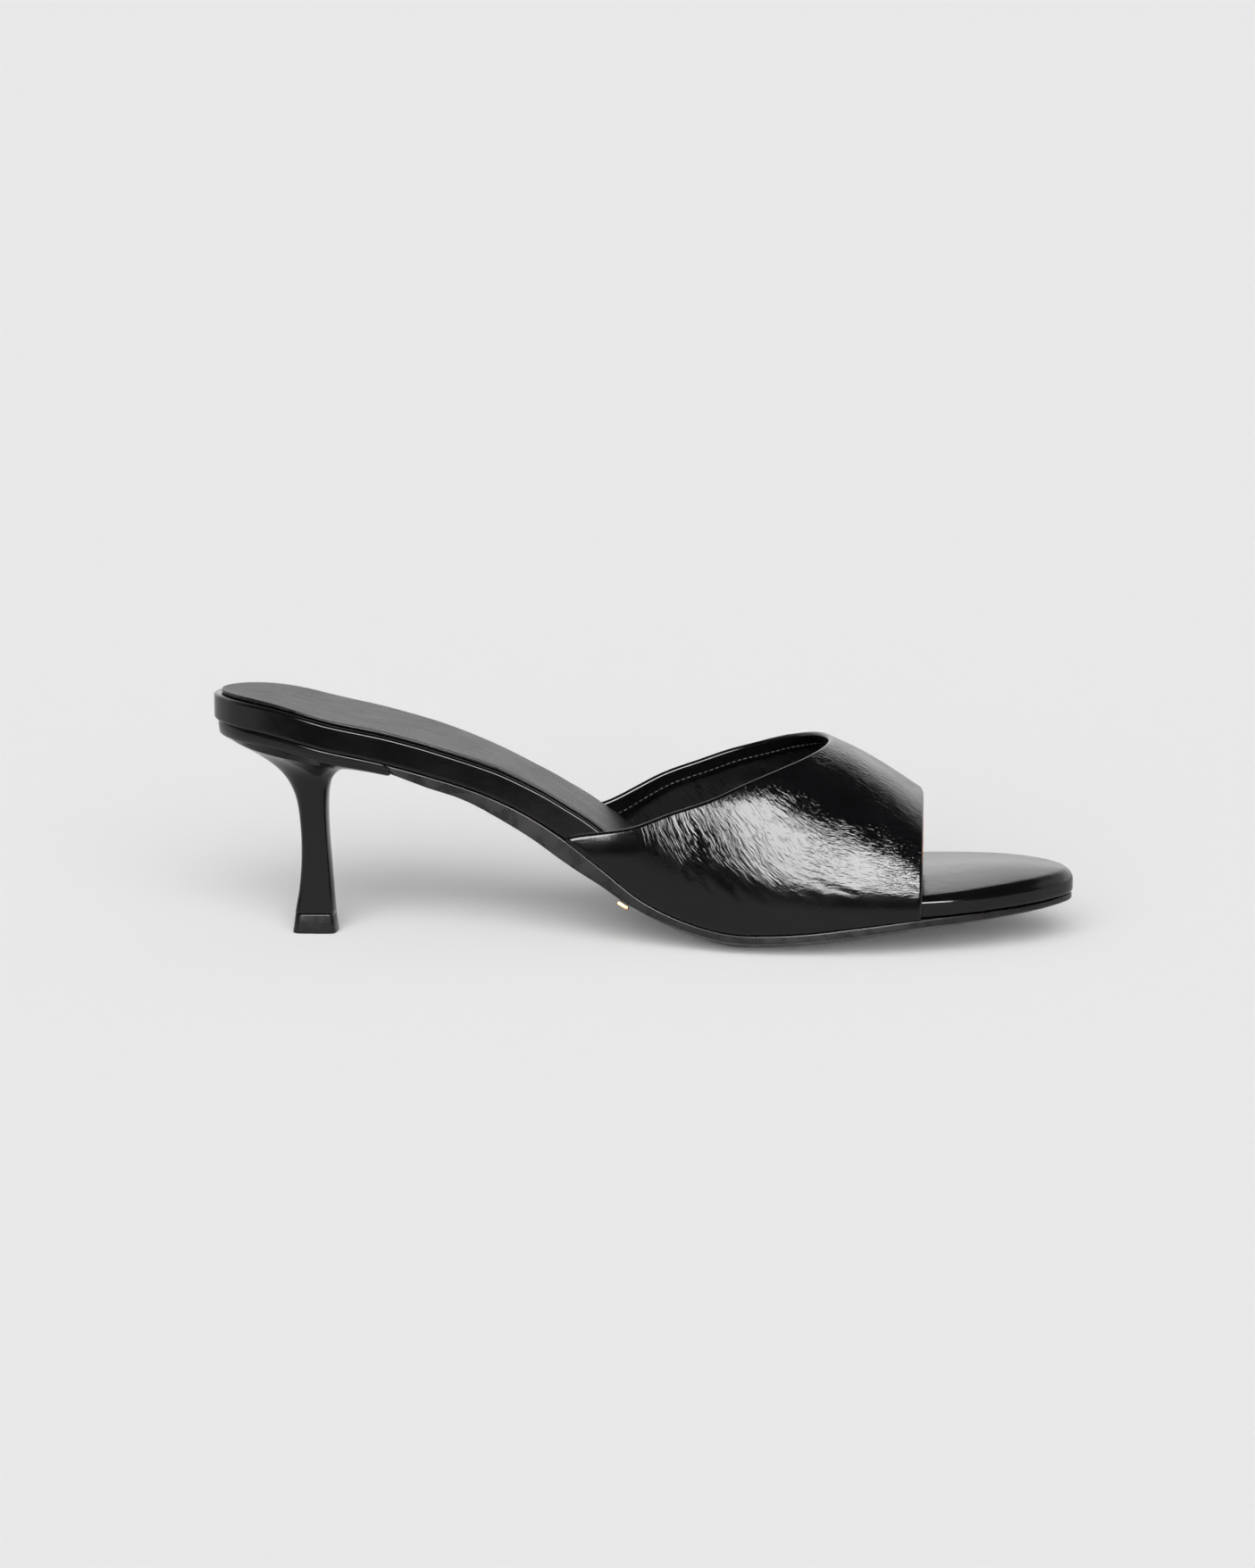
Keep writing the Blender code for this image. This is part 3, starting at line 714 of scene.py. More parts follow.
LINING_CREASES = [
    (1, 480, 20, 610, 200, -10, 18, 16),
    (1, 500, 0, 650, 130, -10, 20, 18),
    (1, 540, 120, 660, 300, 12, 20, 16),
    (1, 560, 200, 700, 340, 10, 18, 15),
    (1, 600, 300, 720, 440, 10, 18, 16),
    (1, 620, 120, 740, 240, -10, 16, 16),
    (1, 640, 420, 740, 560, 8, 16, 15),
    (1, 520, 50, 590, 20, 6, 18, 14),
    (-1, 500, 40, 620, 200, -10, 18, 16),
    (-1, 560, 160, 690, 320, 10, 18, 16),
    (-1, 620, 300, 730, 460, 10, 16, 16),
]

# %% Main creases: their form
CREASE_POINTS = 17
CREASE_REACH = 5
CREASE_FADE = 0.6
RIDGE_SHARE = 0.45
RIDGE_AWAY = 1.7
RIDGE_WIDE = 0.9


def crease_relief(creases, x, share):
    """How far the leather sinks or swells at each point, from all creases of its side."""
    relief = np.zeros(np.broadcast(x, share).shape)
    point = arch(x, share)
    for side, *places, bow, depth, width in creases:
        from_along, from_turn, to_along, to_turn = (place / THOUSANDTH for place in places)
        bow, depth, width = bow / HUNDREDTH, depth / DEPTH_UNIT, width / WIDTH_UNIT
        t = np.linspace(0.0, 1.0, CREASE_POINTS)
        along = (from_along + (to_along - from_along) * t) * LENGTH
        turns = from_turn + (to_turn - from_turn) * t + bow * (to_turn - from_turn) * np.sin(t * math.pi)
        line = arch(along, side * (1 - turns))
        reach = np.ptp(line[:, 0]) / 2 + CREASE_REACH * width
        near = np.abs(point[..., 0] - line[:, 0].mean()) < reach
        near &= (share * side) > 0
        offset = point[near][:, None, :] - line[None, :, :]
        distance = np.linalg.norm(offset, axis=-1)
        nearest = distance.argmin(axis=1)
        d = distance[np.arange(len(nearest)), nearest] / width
        behind = offset[np.arange(len(nearest)), nearest, 0] < 0
        fade = np.sin(np.clip(t[nearest], 0.0, 1.0) * math.pi) ** CREASE_FADE
        ridge = RIDGE_SHARE * np.exp(-((d - RIDGE_AWAY) / RIDGE_WIDE) ** 2)
        trough = np.exp(-d * d) - ridge * np.where(behind, 1.0, 0.5)
        relief[near] -= depth * fade * trough
    return relief


# %% Vamp: the closed wall
LEATHER, FACED, LINED, RAW = range(4)


def vamp_rows():
    """Each row of the section: x, depth under the outer face, way past the edge, and material."""
    reach = EDGE_RADIUS / slant
    facing = (FACING + EDGE_RADIUS) / slant
    stop = front - EDGE_RADIUS
    rows = []
    for s in np.linspace(0.0, 1.0, OUTER_STEPS):
        rows.append((rear + reach + (stop - rear - reach) * s, 0.0, 0.0, LEATHER))
    for a in np.linspace(0.0, math.pi, TURN_STEPS + 1)[1:-1]:
        rows.append((stop, EDGE_RADIUS * (1 - math.cos(a)), EDGE_RADIUS * math.sin(a), RAW))
    for s in np.linspace(0.0, 1.0, LINING_STEPS):
        depth = WALL - FACING_STEP * min(1.0, s * LINING_STEPS / LINING_RAMP)
        rows.append((stop + (rear + facing + FACING_STEP - stop) * s, depth, 0.0, LINED))
    for s in np.linspace(0.0, 1.0, FACING_STEPS):
        rows.append((rear + facing + (reach - facing) * s, WALL, 0.0, FACED))
    for a in np.linspace(math.pi, 2 * math.pi, TURN_STEPS + 1)[1:-1]:
        rows.append((rear + reach, EDGE_RADIUS * (1 - math.cos(a)), EDGE_RADIUS * math.sin(a), FACED))
    return rows


def vamp_row(x, depth, past, kind):
    """Points of one row, with its creases and with the rear edge curled in a little."""
    point, normal, ahead = vamp_frame(x, share)
    sink = depth + REAR_CURL * np.clip(1 - (x - rear) * slant / REAR_CURL_REACH, 0, 1) ** 2 * curled
    if kind == LEATHER:
        sink -= crease_relief(OUTER_CREASES, x, share)
    if kind == LINED:
        sink -= crease_relief(LINING_CREASES, x, share)
    if past:
        square = unit(np.cross(unit(np.gradient(point, axis=0)), normal))
        ahead = square * np.sign((square * ahead).sum(axis=1, keepdims=True))
    return point - sink[:, None] * normal + past * ahead


def make_vamp():
    rows = vamp_rows()
    rows.append(rows[0])
    points = np.array([vamp_row(*row) for row in rows])
    line = arch(np.full_like(share, SPAN_MEASURED_AT * LENGTH), share)
    run = np.concatenate([[0.0], np.cumsum(np.linalg.norm(np.diff(line, axis=0), axis=1))])
    print("the vamp spans", round(run[-1] * 1000, 1), "mm from edge to edge")
    across = np.broadcast_to(run - run[VAMP_SIDES // 2], points.shape[:2])
    along = np.array([row[0] for row in rows]) - LENGTH / 2
    piece = wrapped_grid("vamp_leather", points, along, across, [row[3] for row in rows])
    close_ends(piece)
    return piece


vamp = make_vamp()

# %% [markdown]
# ## Heel
#
# The heel block has a low band with the platform's own outline, then a rounded lip, a concave flare
# and a slim shaft whose breast bulges a little. The sections follow the construction model's, with
# smooth curves between.

# %% Heel
HEEL_AROUND = 160
HEEL_LEVELS = 90
LIP_ROUND = 0.0016
LIP_BACK = 0.0005
LIP_FRONT = 0.0020
LIP_FROM = math.radians(35)
LIP_TO = math.radians(85)
LIP_STEPS = 8
LIP_GAP = 0.0002
BREAST_BULGE = 0.0008
FLAT_BREAST = 10
CORNER_TURN = 1.5


def heel_ring(back, front, half, rear_power, breast_power, height):
    """One section: its back and its breast are squared by their powers, and the breast bulges."""
    angle = 2 * math.pi * np.arange(HEEL_AROUND + 1) / HEEL_AROUND
    belly = back + HEEL_BELLY * (front - back)
    power = np.where(np.cos(angle) > 0, rear_power, breast_power)
    ahead = np.where(np.cos(angle) > 0, belly - back, front - belly)
    x = belly - ahead * np.sign(np.cos(angle)) * abs(np.cos(angle)) ** (2 / power)
    y = half * np.sign(np.sin(angle)) * abs(np.sin(angle)) ** (2 / power)
    z = height(x)
    bulge = np.where(np.cos(angle) < 0, BREAST_BULGE, 0.0) * min(1.0, breast_power / FLAT_BREAST)
    return world(x - bulge * (y / half) ** 2 * abs(np.cos(angle)) ** (2 / power), y, z)


def seat_ring(inset, drop, thin):
    """Section of the heel's band: the platform's plan, cut square at the breast.

    The drop under the last is thinned towards the breast, where the cut is raked like the outsole's.
    """
    i = np.arange(HEEL_AROUND + 1)
    front = SEAT_LENGTH - LIP_GAP - max(inset - BAND_INSET - BAND_ROUND, 0.0)
    front += HEEL_RAKE * min(drop * (1 - thin) / (SIDE[0][5] * SOLE), 1.0)
    turn = np.minimum(i, HEEL_AROUND - i) / (HEEL_AROUND / 4)
    curved = turn <= CORNER_TURN
    x = np.where(curved, front * (1 - np.cos(turn / CORNER_TURN * math.pi / 2)), front)
    left, right = edge_point(x, 1, -inset), edge_point(x, -1, -inset)
    px, py = np.where(i <= HEEL_AROUND // 2, left, right)
    px = np.where(curved, px, front)
    py = np.where(curved, py, py * (2 - turn) / (2 - CORNER_TURN))
    return world(px, py, feather(px, share_across(px, py)) - drop * (1 - thin * px / SEAT_LENGTH))


def make_heel():
    foot = TOP_PIECE + GAP
    body = HEEL_HEIGHT - foot
    rings = [
        seat_ring(BAND_INSET + BAND_ROUND, 0.0, 0.0),
        seat_ring(BAND_INSET + BAND_ROUND * 0.3, BAND_ROUND * 0.3, 0.0),
        seat_ring(BAND_INSET, BAND_ROUND, 0.0),
        seat_ring(BAND_INSET + BAND_ROUND * 0.3, BAND * 0.5, BAND_TAPER),
        seat_ring(BAND_INSET + BAND_ROUND * 0.7, BAND * 0.9, BAND_TAPER),
    ]
    for angle in np.linspace(LIP_FROM, LIP_TO, LIP_STEPS):
        sunk = (math.sin(angle) - math.sin(LIP_FROM)) / (math.sin(LIP_TO) - math.sin(LIP_FROM))
        inset = BAND_INSET + BAND_ROUND * 1.5 + LIP_ROUND * (math.cos(LIP_FROM) - math.cos(angle))
        behind, before = BAND + LIP_BACK * sunk, BAND * (1 - BAND_TAPER) + LIP_FRONT * sunk
        rings.append(seat_ring(inset, behind, 1 - before / behind))
    table = np.array(HEEL, float)
    columns = [curve(np.arange(len(HEEL)), column_values) for column_values in table.T]
    for level in np.linspace(0.0, len(HEEL) - 1, HEEL_LEVELS):
        back, back_height, front, front_height, half, rear_power, breast_power = (
            at(level) for at in columns)
        low, high = foot + back_height * body, foot + front_height * body
        back, front = back * SEAT_LENGTH, front * SEAT_LENGTH
        rings.append(heel_ring(back, front, half * SEAT_WIDTH, rear_power, breast_power,
                               lambda x: low + (high - low) * (x - back) / (front - back)))
    piece = wrapped_grid("heel_block", np.array(rings))
    close_ends(piece)
    return piece


heel = make_heel()

# %% [markdown]
# ## Top piece
#
# The wear tip goes on with the heel's outline. Its edges are crisp, because it is stamped from a
# sheet of hard rubber, so its rings lie close together at the two edges.

# %% Top piece: how far out and how high each ring lies
SIDE_FLARE = 0.3
FLARED = TOP_PIECE * TOP_PIECE_FLARE
TOP_PIECE_RINGS = [
    (-0.0004, TOP_PIECE),
    (-0.0001, TOP_PIECE),
    (0.0, TOP_PIECE - 0.0003),
    (FLARED * 0.5, TOP_PIECE * 0.5),
    (FLARED, 0.0005),
    (FLARED - 0.0001, 0.0001),
    (FLARED - 0.0005, 0.0),
]


def make_top_piece():
    back, _, front, _, half, rear_power, breast_power = HEEL[-1]
    rings = []
    for out, z in TOP_PIECE_RINGS:
        rings.append(heel_ring(back * SEAT_LENGTH - out, front * SEAT_LENGTH + out,
                               half * SEAT_WIDTH + out * SIDE_FLARE, rear_power, breast_power,
                               lambda x: np.full_like(x, z)))
    piece = wrapped_grid("top_piece_rubber", np.array(rings))
    close_ends(piece)
    return piece


top_piece = make_top_piece()

# %% [markdown]
# ## Plate under the waist
#
# A small gilt plate is glued to the outsole there. It is thin sheet metal with smooth corners, so a
# block's edges are all rounded and it is turned to lie against the sole.

# %% Plate
PLATE_SIZE = (0.0035, 0.0090, 0.0012)
PLATE_ALONG = 0.481
PLATE_ACROSS = -0.30
PLATE_ROUND = 0.00025


def make_plate():
    x, y = PLATE_ALONG * LENGTH, PLATE_ACROSS * BALL_WIDTH
    length, width, thickness = PLATE_SIZE

    def under(place_x, place_y):
        return Vector(world(place_x, place_y, tread(place_x, place_y)))

    beside = (under(x, y + width / 2) - under(x, y - width / 2)).normalized()
    down = beside.cross(under(x + length, y) - under(x - length, y)).normalized()
    turned = Matrix((down.cross(beside), beside, down)).transposed().to_4x4()
    bpy.ops.object.select_all(action="DESELECT")
    bpy.ops.mesh.primitive_cube_add(size=1.0)
    piece = bpy.context.object
    piece.name = piece.data.name = "gilt_plate"
    piece.scale = PLATE_SIZE
    bpy.ops.object.transform_apply(scale=True)
    bpy.ops.object.mode_set(mode="EDIT")
    bpy.ops.mesh.select_all(action="SELECT")
    bpy.ops.mesh.bevel(offset=PLATE_ROUND, segments=3, affect="EDGES")
    bpy.ops.object.mode_set(mode="OBJECT")
    piece.matrix_world = Matrix.Translation(under(x, y) + down * (GAP + thickness / 2)) @ turned
    bpy.ops.object.transform_apply(location=True, rotation=True)
    bpy.ops.object.shade_smooth_by_angle(angle=math.radians(40))
    return piece


plate = make_plate()

# %% [markdown]
# ## Stitches
#
# One row of short stitches holds the facing to the lining, a few millimetres inside the rear edge.
# The thread sinks at both ends of each stitch, so one stitch is a small rounded bead, drawn long. It
# is modelled once and copied along the line.

# %% Stitches
STITCH_PITCH = 0.0017
STITCH_LONG = 0.0013
STITCH_THICK = 0.00028
STITCH_INSIDE = 0.0005


def stitch_line():
    """Places, directions and normals along the facing's edge, evenly spaced."""
    x = rear + (FACING - STITCH_INSIDE) / slant
    point, normal, _ = vamp_frame(x, share)
    sink = WALL + REAR_CURL * (1 - FACING / REAR_CURL_REACH) ** 2 * curled
    line = point - sink[:, None] * normal
    run = np.concatenate([[0.0], np.cumsum(np.linalg.norm(np.diff(line, axis=0), axis=1))])
    places = np.arange(STITCH_PITCH, run[-1] - STITCH_PITCH, STITCH_PITCH)
    at = np.stack([np.interp(places, run, line[:, i]) for i in range(3)], axis=1)
    ahead = unit(np.stack([np.interp(places, run, np.gradient(line[:, i], run)) for i in range(3)], axis=1))
    up = unit(np.stack([np.interp(places, run, -normal[:, i]) for i in range(3)], axis=1))
    return at, ahead, up


def make_stitches():
    bpy.ops.object.select_all(action="DESELECT")
    bpy.ops.mesh.primitive_uv_sphere_add(segments=8, ring_count=5, radius=0.5)
    first = bpy.context.object
    first.name = first.data.name = "facing_stitches"
    beads = []
    for at, ahead, up in zip(*stitch_line()):
        side = np.cross(up, ahead)
        bead = first.copy()
        bead.data = first.data.copy()
        bpy.context.collection.objects.link(bead)
        turned = np.stack([ahead * STITCH_LONG, side * STITCH_THICK, up * STITCH_THICK], axis=1)
        bead.data.transform(Matrix.Translation(at) @ Matrix(turned.tolist()).to_4x4())
        beads.append(bead)
    bpy.data.objects.remove(first)
    bpy.ops.object.select_all(action="DESELECT")
    for bead in beads:
        bead.select_set(True)
    bpy.context.view_layer.objects.active = beads[0]
    bpy.ops.object.join()
    bpy.ops.object.shade_smooth()
    piece = bpy.context.object
    piece.name = piece.data.name = "facing_stitches"
    print(len(beads), "stitches")
    return piece


stitches = make_stitches()

# %% [markdown]
# ## Tools for materials
#
# Every finish is a Principled shader. A number that is the same all over is set on the shader
# itself. What varies over the surface, the grain, the creases and the wear, comes from noise read in
# the shoe's own coordinates, and the grains that several leathers share are node groups.


# %% Tools for materials
def node(tree, kind, **values):
    """Adds a node and sets its properties, or its inputs where a value's name is an input's."""
    made = tree.nodes.new(kind)
    for name, value in values.items():
        spaced = name.replace("_", " ")
        if spaced in made.inputs:
            target = made.inputs[spaced]
            if isinstance(value, bpy.types.NodeSocket):
                tree.links.new(value, target)
            else:
                target.default_value = value
        else:
            setattr(made, name, value)
    return made


def maths(tree, operation, first, second=0.0, third=0.0):
    """A Math node on sockets or numbers."""
    made = tree.nodes.new("ShaderNodeMath")
    made.operation = operation
    for socket, value in zip(made.inputs, (first, second, third)):
        if isinstance(value, bpy.types.NodeSocket):
            tree.links.new(value, socket)
        else:
            socket.default_value = value
    return made.outputs[0]


def spread(tree, value, low, high, to_low, to_high):
    """Maps a value smoothly from one range to another, held at both ends."""
    made = node(tree, "ShaderNodeMapRange", interpolation_type="SMOOTHSTEP", Value=value,
                From_Min=low, From_Max=high, To_Min=to_low, To_Max=to_high)
    return made.outputs["Result"]


def noise(tree, vector, scale, detail=2.0, rough=0.5, twist=0.0):
    made = node(tree, "ShaderNodeTexNoise", Vector=vector, Scale=scale, Detail=detail,
                Roughness=rough, Distortion=twist)
    return made.outputs["Fac"]


def new_finish(name, **values):
    """A material with one Principled shader, whose even values are set on its own sockets."""
    material = bpy.data.materials.new(name)
    material.use_nodes = True
    tree = material.node_tree
    shader = tree.nodes["Principled BSDF"]
    for socket, value in values.items():
        shader.inputs[socket.replace("_", " ")].default_value = value
    return material, tree, shader


def feed(tree, shader, height, distance, rough, colour):
    """Gives a finish its bump, its gloss and its colour."""
    bump = node(tree, "ShaderNodeBump", Height=height, Distance=distance)
    tree.links.new(bump.outputs["Normal"], shader.inputs["Normal"])
    tree.links.new(rough, shader.inputs["Roughness"])
    tree.links.new(colour, shader.inputs["Base Color"])


def two_colours(tree, share, first, second):
    made = node(tree, "ShaderNodeMix", data_type="RGBA")
    tree.links.new(share, made.inputs["Factor"])
    made.inputs[6].default_value = (*first, 1.0)
    made.inputs[7].default_value = (*second, 1.0)
    return made.outputs[2]


def new_group(name, inputs, outputs):
    """A node group with number inputs and outputs, and its two end nodes."""
    group = bpy.data.node_groups.new(name, "ShaderNodeTree")
    for title, kind, value in inputs:
        socket = group.interface.new_socket(title, in_out="INPUT", socket_type=kind)
        if value is not None:
            socket.default_value = value
    for title, kind in outputs:
        group.interface.new_socket(title, in_out="OUTPUT", socket_type=kind)
    return group, group.nodes.new("NodeGroupInput"), group.nodes.new("NodeGroupOutput")


# %% [markdown]
# ## Leather grain
#
# Smooth calf leather still has fine pores and a cell-like grain of about half a millimetre. One
# group gives it as a height, with slow patches where the grain is stronger, and a mask of those
# patches that makes the gloss uneven.

# %% Group: leather grain
grain_group, grain_in, grain_out = new_group(
    "leather_grain",
    [("Vector", "NodeSocketVector", None), ("Cell", "NodeSocketFloat", 0.0006)],
    [("Height", "NodeSocketFloat"), ("Patches", "NodeSocketFloat")])
per_cell = maths(grain_group, "DIVIDE", 1.0, grain_in.outputs["Cell"])
cells = node(grain_group, "ShaderNodeTexVoronoi", feature="SMOOTH_F1",
             Vector=grain_in.outputs["Vector"], Scale=per_cell, Smoothness=0.4)
pores = noise(grain_group, grain_in.outputs["Vector"], maths(grain_group, "MULTIPLY", per_cell, 2.2), 3.0)
patches = noise(grain_group, grain_in.outputs["Vector"], 90.0, 2.0)
raised = maths(grain_group, "SUBTRACT", 1.0, cells.outputs["Distance"])
mixed = maths(grain_group, "ADD", raised, maths(grain_group, "MULTIPLY", pores, 0.6))
stronger = spread(grain_group, patches, 0.3, 0.7, 0.6, 1.2)
grain_group.links.new(maths(grain_group, "MULTIPLY", mixed, stronger), grain_out.inputs["Height"])
grain_group.links.new(patches, grain_out.inputs["Patches"])

# %% [markdown]
# ## Fine creases of the vamp
#
# Between the big creases lie many small ones. They run round the instep in arcs, and nearer the
# ridge they run level. So the noise is read in polar coordinates round a point on the ridge, pulled
# long along the arcs, and near that point it is read long along the shoe instead. They fade towards
# the edges, where the leather is stretched over the board.

# %% Group: fine creases
CREASE_CENTRE = 0.068
crease_group, crease_in, crease_out = new_group(
    "fine_creases",
    [("UV", "NodeSocketVector", None)],
    [("Height", "NodeSocketFloat")])
sway = node(crease_group, "ShaderNodeTexNoise", Vector=crease_in.outputs["UV"], Scale=70.0, Detail=2.0)
swayed = node(crease_group, "ShaderNodeVectorMath", operation="MULTIPLY_ADD")
crease_group.links.new(sway.outputs["Color"], swayed.inputs[0])
swayed.inputs[1].default_value = (0.007, 0.007, 0.0)
crease_group.links.new(crease_in.outputs["UV"], swayed.inputs[2])
parts = node(crease_group, "ShaderNodeSeparateXYZ", Vector=swayed.outputs[0])
ahead_of = maths(crease_group, "SUBTRACT", parts.outputs["X"], CREASE_CENTRE)
beside_of = parts.outputs["Y"]
radius = maths(crease_group, "SQRT", maths(crease_group, "ADD",
                                           maths(crease_group, "MULTIPLY", ahead_of, ahead_of),
                                           maths(crease_group, "MULTIPLY", beside_of, beside_of)))
angle = maths(crease_group, "ARCTAN2", beside_of, ahead_of)
arcs = node(crease_group, "ShaderNodeCombineXYZ", X=maths(crease_group, "MULTIPLY", radius, 640.0),
            Y=maths(crease_group, "MULTIPLY", angle, 9.0))
levels = node(crease_group, "ShaderNodeCombineXYZ", X=maths(crease_group, "MULTIPLY", ahead_of, 260.0),
              Y=maths(crease_group, "MULTIPLY", beside_of, 640.0), Z=3.0)
near = spread(crease_group, radius, 0.024, 0.038, 0.0, 1.0)


def creased(read):
    """Folds from a ridged noise and small raised cells, both drawn long by the way they are read."""
    wave = noise(crease_group, read, 1.0, 3.0, 0.6)
    ridge = maths(crease_group, "ABSOLUTE", maths(crease_group, "MULTIPLY_ADD", wave, 2.0, -1.0))
    fold = spread(crease_group, ridge, 0.0, 0.36, 0.0, 1.0)
    cell = node(crease_group, "ShaderNodeTexVoronoi", feature="SMOOTH_F1", Vector=read,
                Scale=1.7, Smoothness=0.5)
    domed = maths(crease_group, "SUBTRACT", 1.0, cell.outputs["Distance"])
    return maths(crease_group, "MULTIPLY_ADD", domed, 0.75, fold)


both = maths(crease_group, "ADD", maths(crease_group, "MULTIPLY", creased(arcs.outputs[0]), near),
             maths(crease_group, "MULTIPLY", creased(levels.outputs[0]),
                   maths(crease_group, "SUBTRACT", 1.0, near)))
slack = noise(crease_group, crease_in.outputs["UV"], 75.0, 1.0)
low_part = spread(crease_group, maths(crease_group, "ABSOLUTE", beside_of), 0.050, 0.060, 1.0, 0.05)
mask = maths(crease_group, "MULTIPLY", low_part, spread(crease_group, slack, 0.30, 0.62, 0.45, 1.0))
crease_group.links.new(maths(crease_group, "MULTIPLY", both, mask), crease_out.inputs["Height"])

# %% [markdown]
# ## Black leathers
#
# Vamp, platform and lining are the same black calf. Over the vamp the gloss is broken by the creases,
# on the platform it is nearly a mirror, and the lining is duller and wrinkled along the shoe.

# %% Black leathers
def grained(tree):
    """The shoe's coordinates and a grain node that reads them."""
    place = node(tree, "ShaderNodeTexCoord").outputs["Object"]
    grain = node(tree, "ShaderNodeGroup", node_tree=grain_group)
    tree.links.new(place, grain.inputs["Vector"])
    return place, grain


def creased_leather():
    material, tree, shader = new_finish("creased_leather", IOR=1.43)
    uv = node(tree, "ShaderNodeUVMap").outputs["UV"]
    creases = node(tree, "ShaderNodeGroup", node_tree=crease_group)
    tree.links.new(uv, creases.inputs["UV"])
    place, grain = grained(tree)
    height = maths(tree, "MULTIPLY_ADD", grain.outputs["Height"], 0.10, creases.outputs["Height"])
    rough = spread(tree, grain.outputs["Patches"], 0.3, 0.7, 0.085, 0.125)
    # Painted shade: the base colour follows the fine creases' height. It is darker in their troughs, and
    # also darker where the creases fade out towards the edges.
    colour = two_colours(tree, creases.outputs["Height"],
                         (0.0016, 0.0015, 0.0017), (0.0032, 0.0030, 0.0034))
    feed(tree, shader, height, 0.00006, rough, colour)
    return material


def smooth_leather():
    material, tree, shader = new_finish("smooth_leather", IOR=1.43)
    place, grain = grained(tree)
    slow = noise(tree, place, 150.0, 2.0)
    height = maths(tree, "MULTIPLY_ADD", slow, 1.2, maths(tree, "MULTIPLY", grain.outputs["Height"], 0.12))
    rough = spread(tree, grain.outputs["Patches"], 0.3, 0.7, 0.08, 0.13)
    colour = two_colours(tree, grain.outputs["Patches"],
                         (0.0018, 0.0017, 0.0018), (0.0030, 0.0028, 0.0031))
    feed(tree, shader, height, 0.00008, rough, colour)
    return material


def lining_leather():
    material, tree, shader = new_finish("lining_leather", IOR=1.4)
    place, grain = grained(tree)
    run = node(tree, "ShaderNodeSeparateXYZ", Vector=node(tree, "ShaderNodeUVMap").outputs["UV"])
    slanted = maths(tree, "MULTIPLY_ADD", run.outputs["X"], -0.6, run.outputs["Y"])
    drawn = node(tree, "ShaderNodeCombineXYZ", X=maths(tree, "MULTIPLY", run.outputs["X"], 170.0),
                 Y=maths(tree, "MULTIPLY", slanted, 620.0))
    folds = noise(tree, drawn.outputs[0], 1.0, 3.0, 0.55, 0.5)
    height = maths(tree, "MULTIPLY_ADD", folds, 3.0, maths(tree, "MULTIPLY", grain.outputs["Height"], 0.4))
    rough = spread(tree, folds, 0.3, 0.7, 0.36, 0.26)
    # Painted shade: the base colour follows the same folds as the bump and is darker in their troughs.
    colour = two_colours(tree, folds, (0.0030, 0.0027, 0.0028), (0.0060, 0.0056, 0.0057))
    feed(tree, shader, height, 0.00011, rough, colour)
    return material


leather = creased_leather()
glossy_leather = smooth_leather()
lining = lining_leather()

# %% [markdown]
# ## Sock leather
#
# The sock is dull grained leather over foam. It takes much light, so it looks mid grey from low down
# although it is nearly black. Its cut edge is painted black.


# %% Sock and sole leathers
def sock_leather():
    material, tree, shader = new_finish("sock_leather", IOR=1.40)
    place, grain = grained(tree)
    grain.inputs["Cell"].default_value = 0.00035
    soft = noise(tree, place, 120.0, 2.0)
    drawn = node(tree, "ShaderNodeMapping", Vector=place, Scale=(90.0, 700.0, 90.0))
    streaks = noise(tree, drawn.outputs[0], 1.0, 2.0)
    specks = noise(tree, place, 2600.0, 1.0)
    height = maths(tree, "ADD", soft, grain.outputs["Height"])
    rough = maths(tree, "ADD", spread(tree, streaks, 0.3, 0.7, 0.24, 0.34),
                  spread(tree, specks, 0.3, 0.7, 0.0, 0.16))
    colour = two_colours(tree, soft, (0.020, 0.019, 0.018), (0.028, 0.0265, 0.0255))
    feed(tree, shader, height, 0.00018, rough, colour)
    return material


def sole_leather():
    material, tree, shader = new_finish("sole_leather", IOR=1.45)
    place, grain = grained(tree)
    mix_share = noise(tree, place, 45.0, 3.0)
    rough = spread(tree, mix_share, 0.35, 0.65, 0.30, 0.45)
    colour = two_colours(tree, mix_share, (0.030, 0.025, 0.023), (0.045, 0.038, 0.034))
    feed(tree, shader, grain.outputs["Height"], 0.00003, rough, colour)
    return material


sock_finish = sock_leather()
sole_finish = sole_leather()

# %% [markdown]
# ## Heel cover, rubber, gilt, thread and the raw edge
#
# The heel's cover and its rubber are smooth with a satin gloss, and the little plate is brass.


# %% Small finishes
def plain_finish(name, first, second, rough_low, rough_high, scale, depth, **values):
    """A finish whose colour and gloss wander slowly and whose surface is slightly uneven."""
    material, tree, shader = new_finish(name, **values)
    place = node(tree, "ShaderNodeTexCoord").outputs["Object"]
    wander = noise(tree, place, scale, 3.0)
    fine = noise(tree, place, scale * 9, 2.0)
    feed(tree, shader, maths(tree, "MULTIPLY_ADD", fine, 0.3, wander), depth,
         spread(tree, wander, 0.3, 0.7, rough_low, rough_high), two_colours(tree, wander, first, second))
    return material


heel_finish = plain_finish("heel_cover", (0.0024, 0.0021, 0.0021), (0.0034, 0.0031, 0.0030),
                           0.07, 0.11, 110.0, 0.00002, IOR=1.43)
rubber = plain_finish("tip_rubber", (0.0030, 0.0028, 0.0028), (0.0045, 0.0042, 0.0042),
                      0.14, 0.22, 700.0, 0.00003, IOR=1.45)
gilt = plain_finish("gilt", (0.34, 0.19, 0.09), (0.46, 0.28, 0.14),
                    0.26, 0.36, 500.0, 0.00001, Metallic=1.0)
edge_paint = plain_finish("edge_paint", (0.0036, 0.0032, 0.0030), (0.0056, 0.0050, 0.0046),
                          0.24, 0.36, 300.0, 0.00003, IOR=1.43)
thread = plain_finish("thread", (0.050, 0.047, 0.044), (0.085, 0.080, 0.075), 0.4, 0.5, 2500.0, 0.00003)


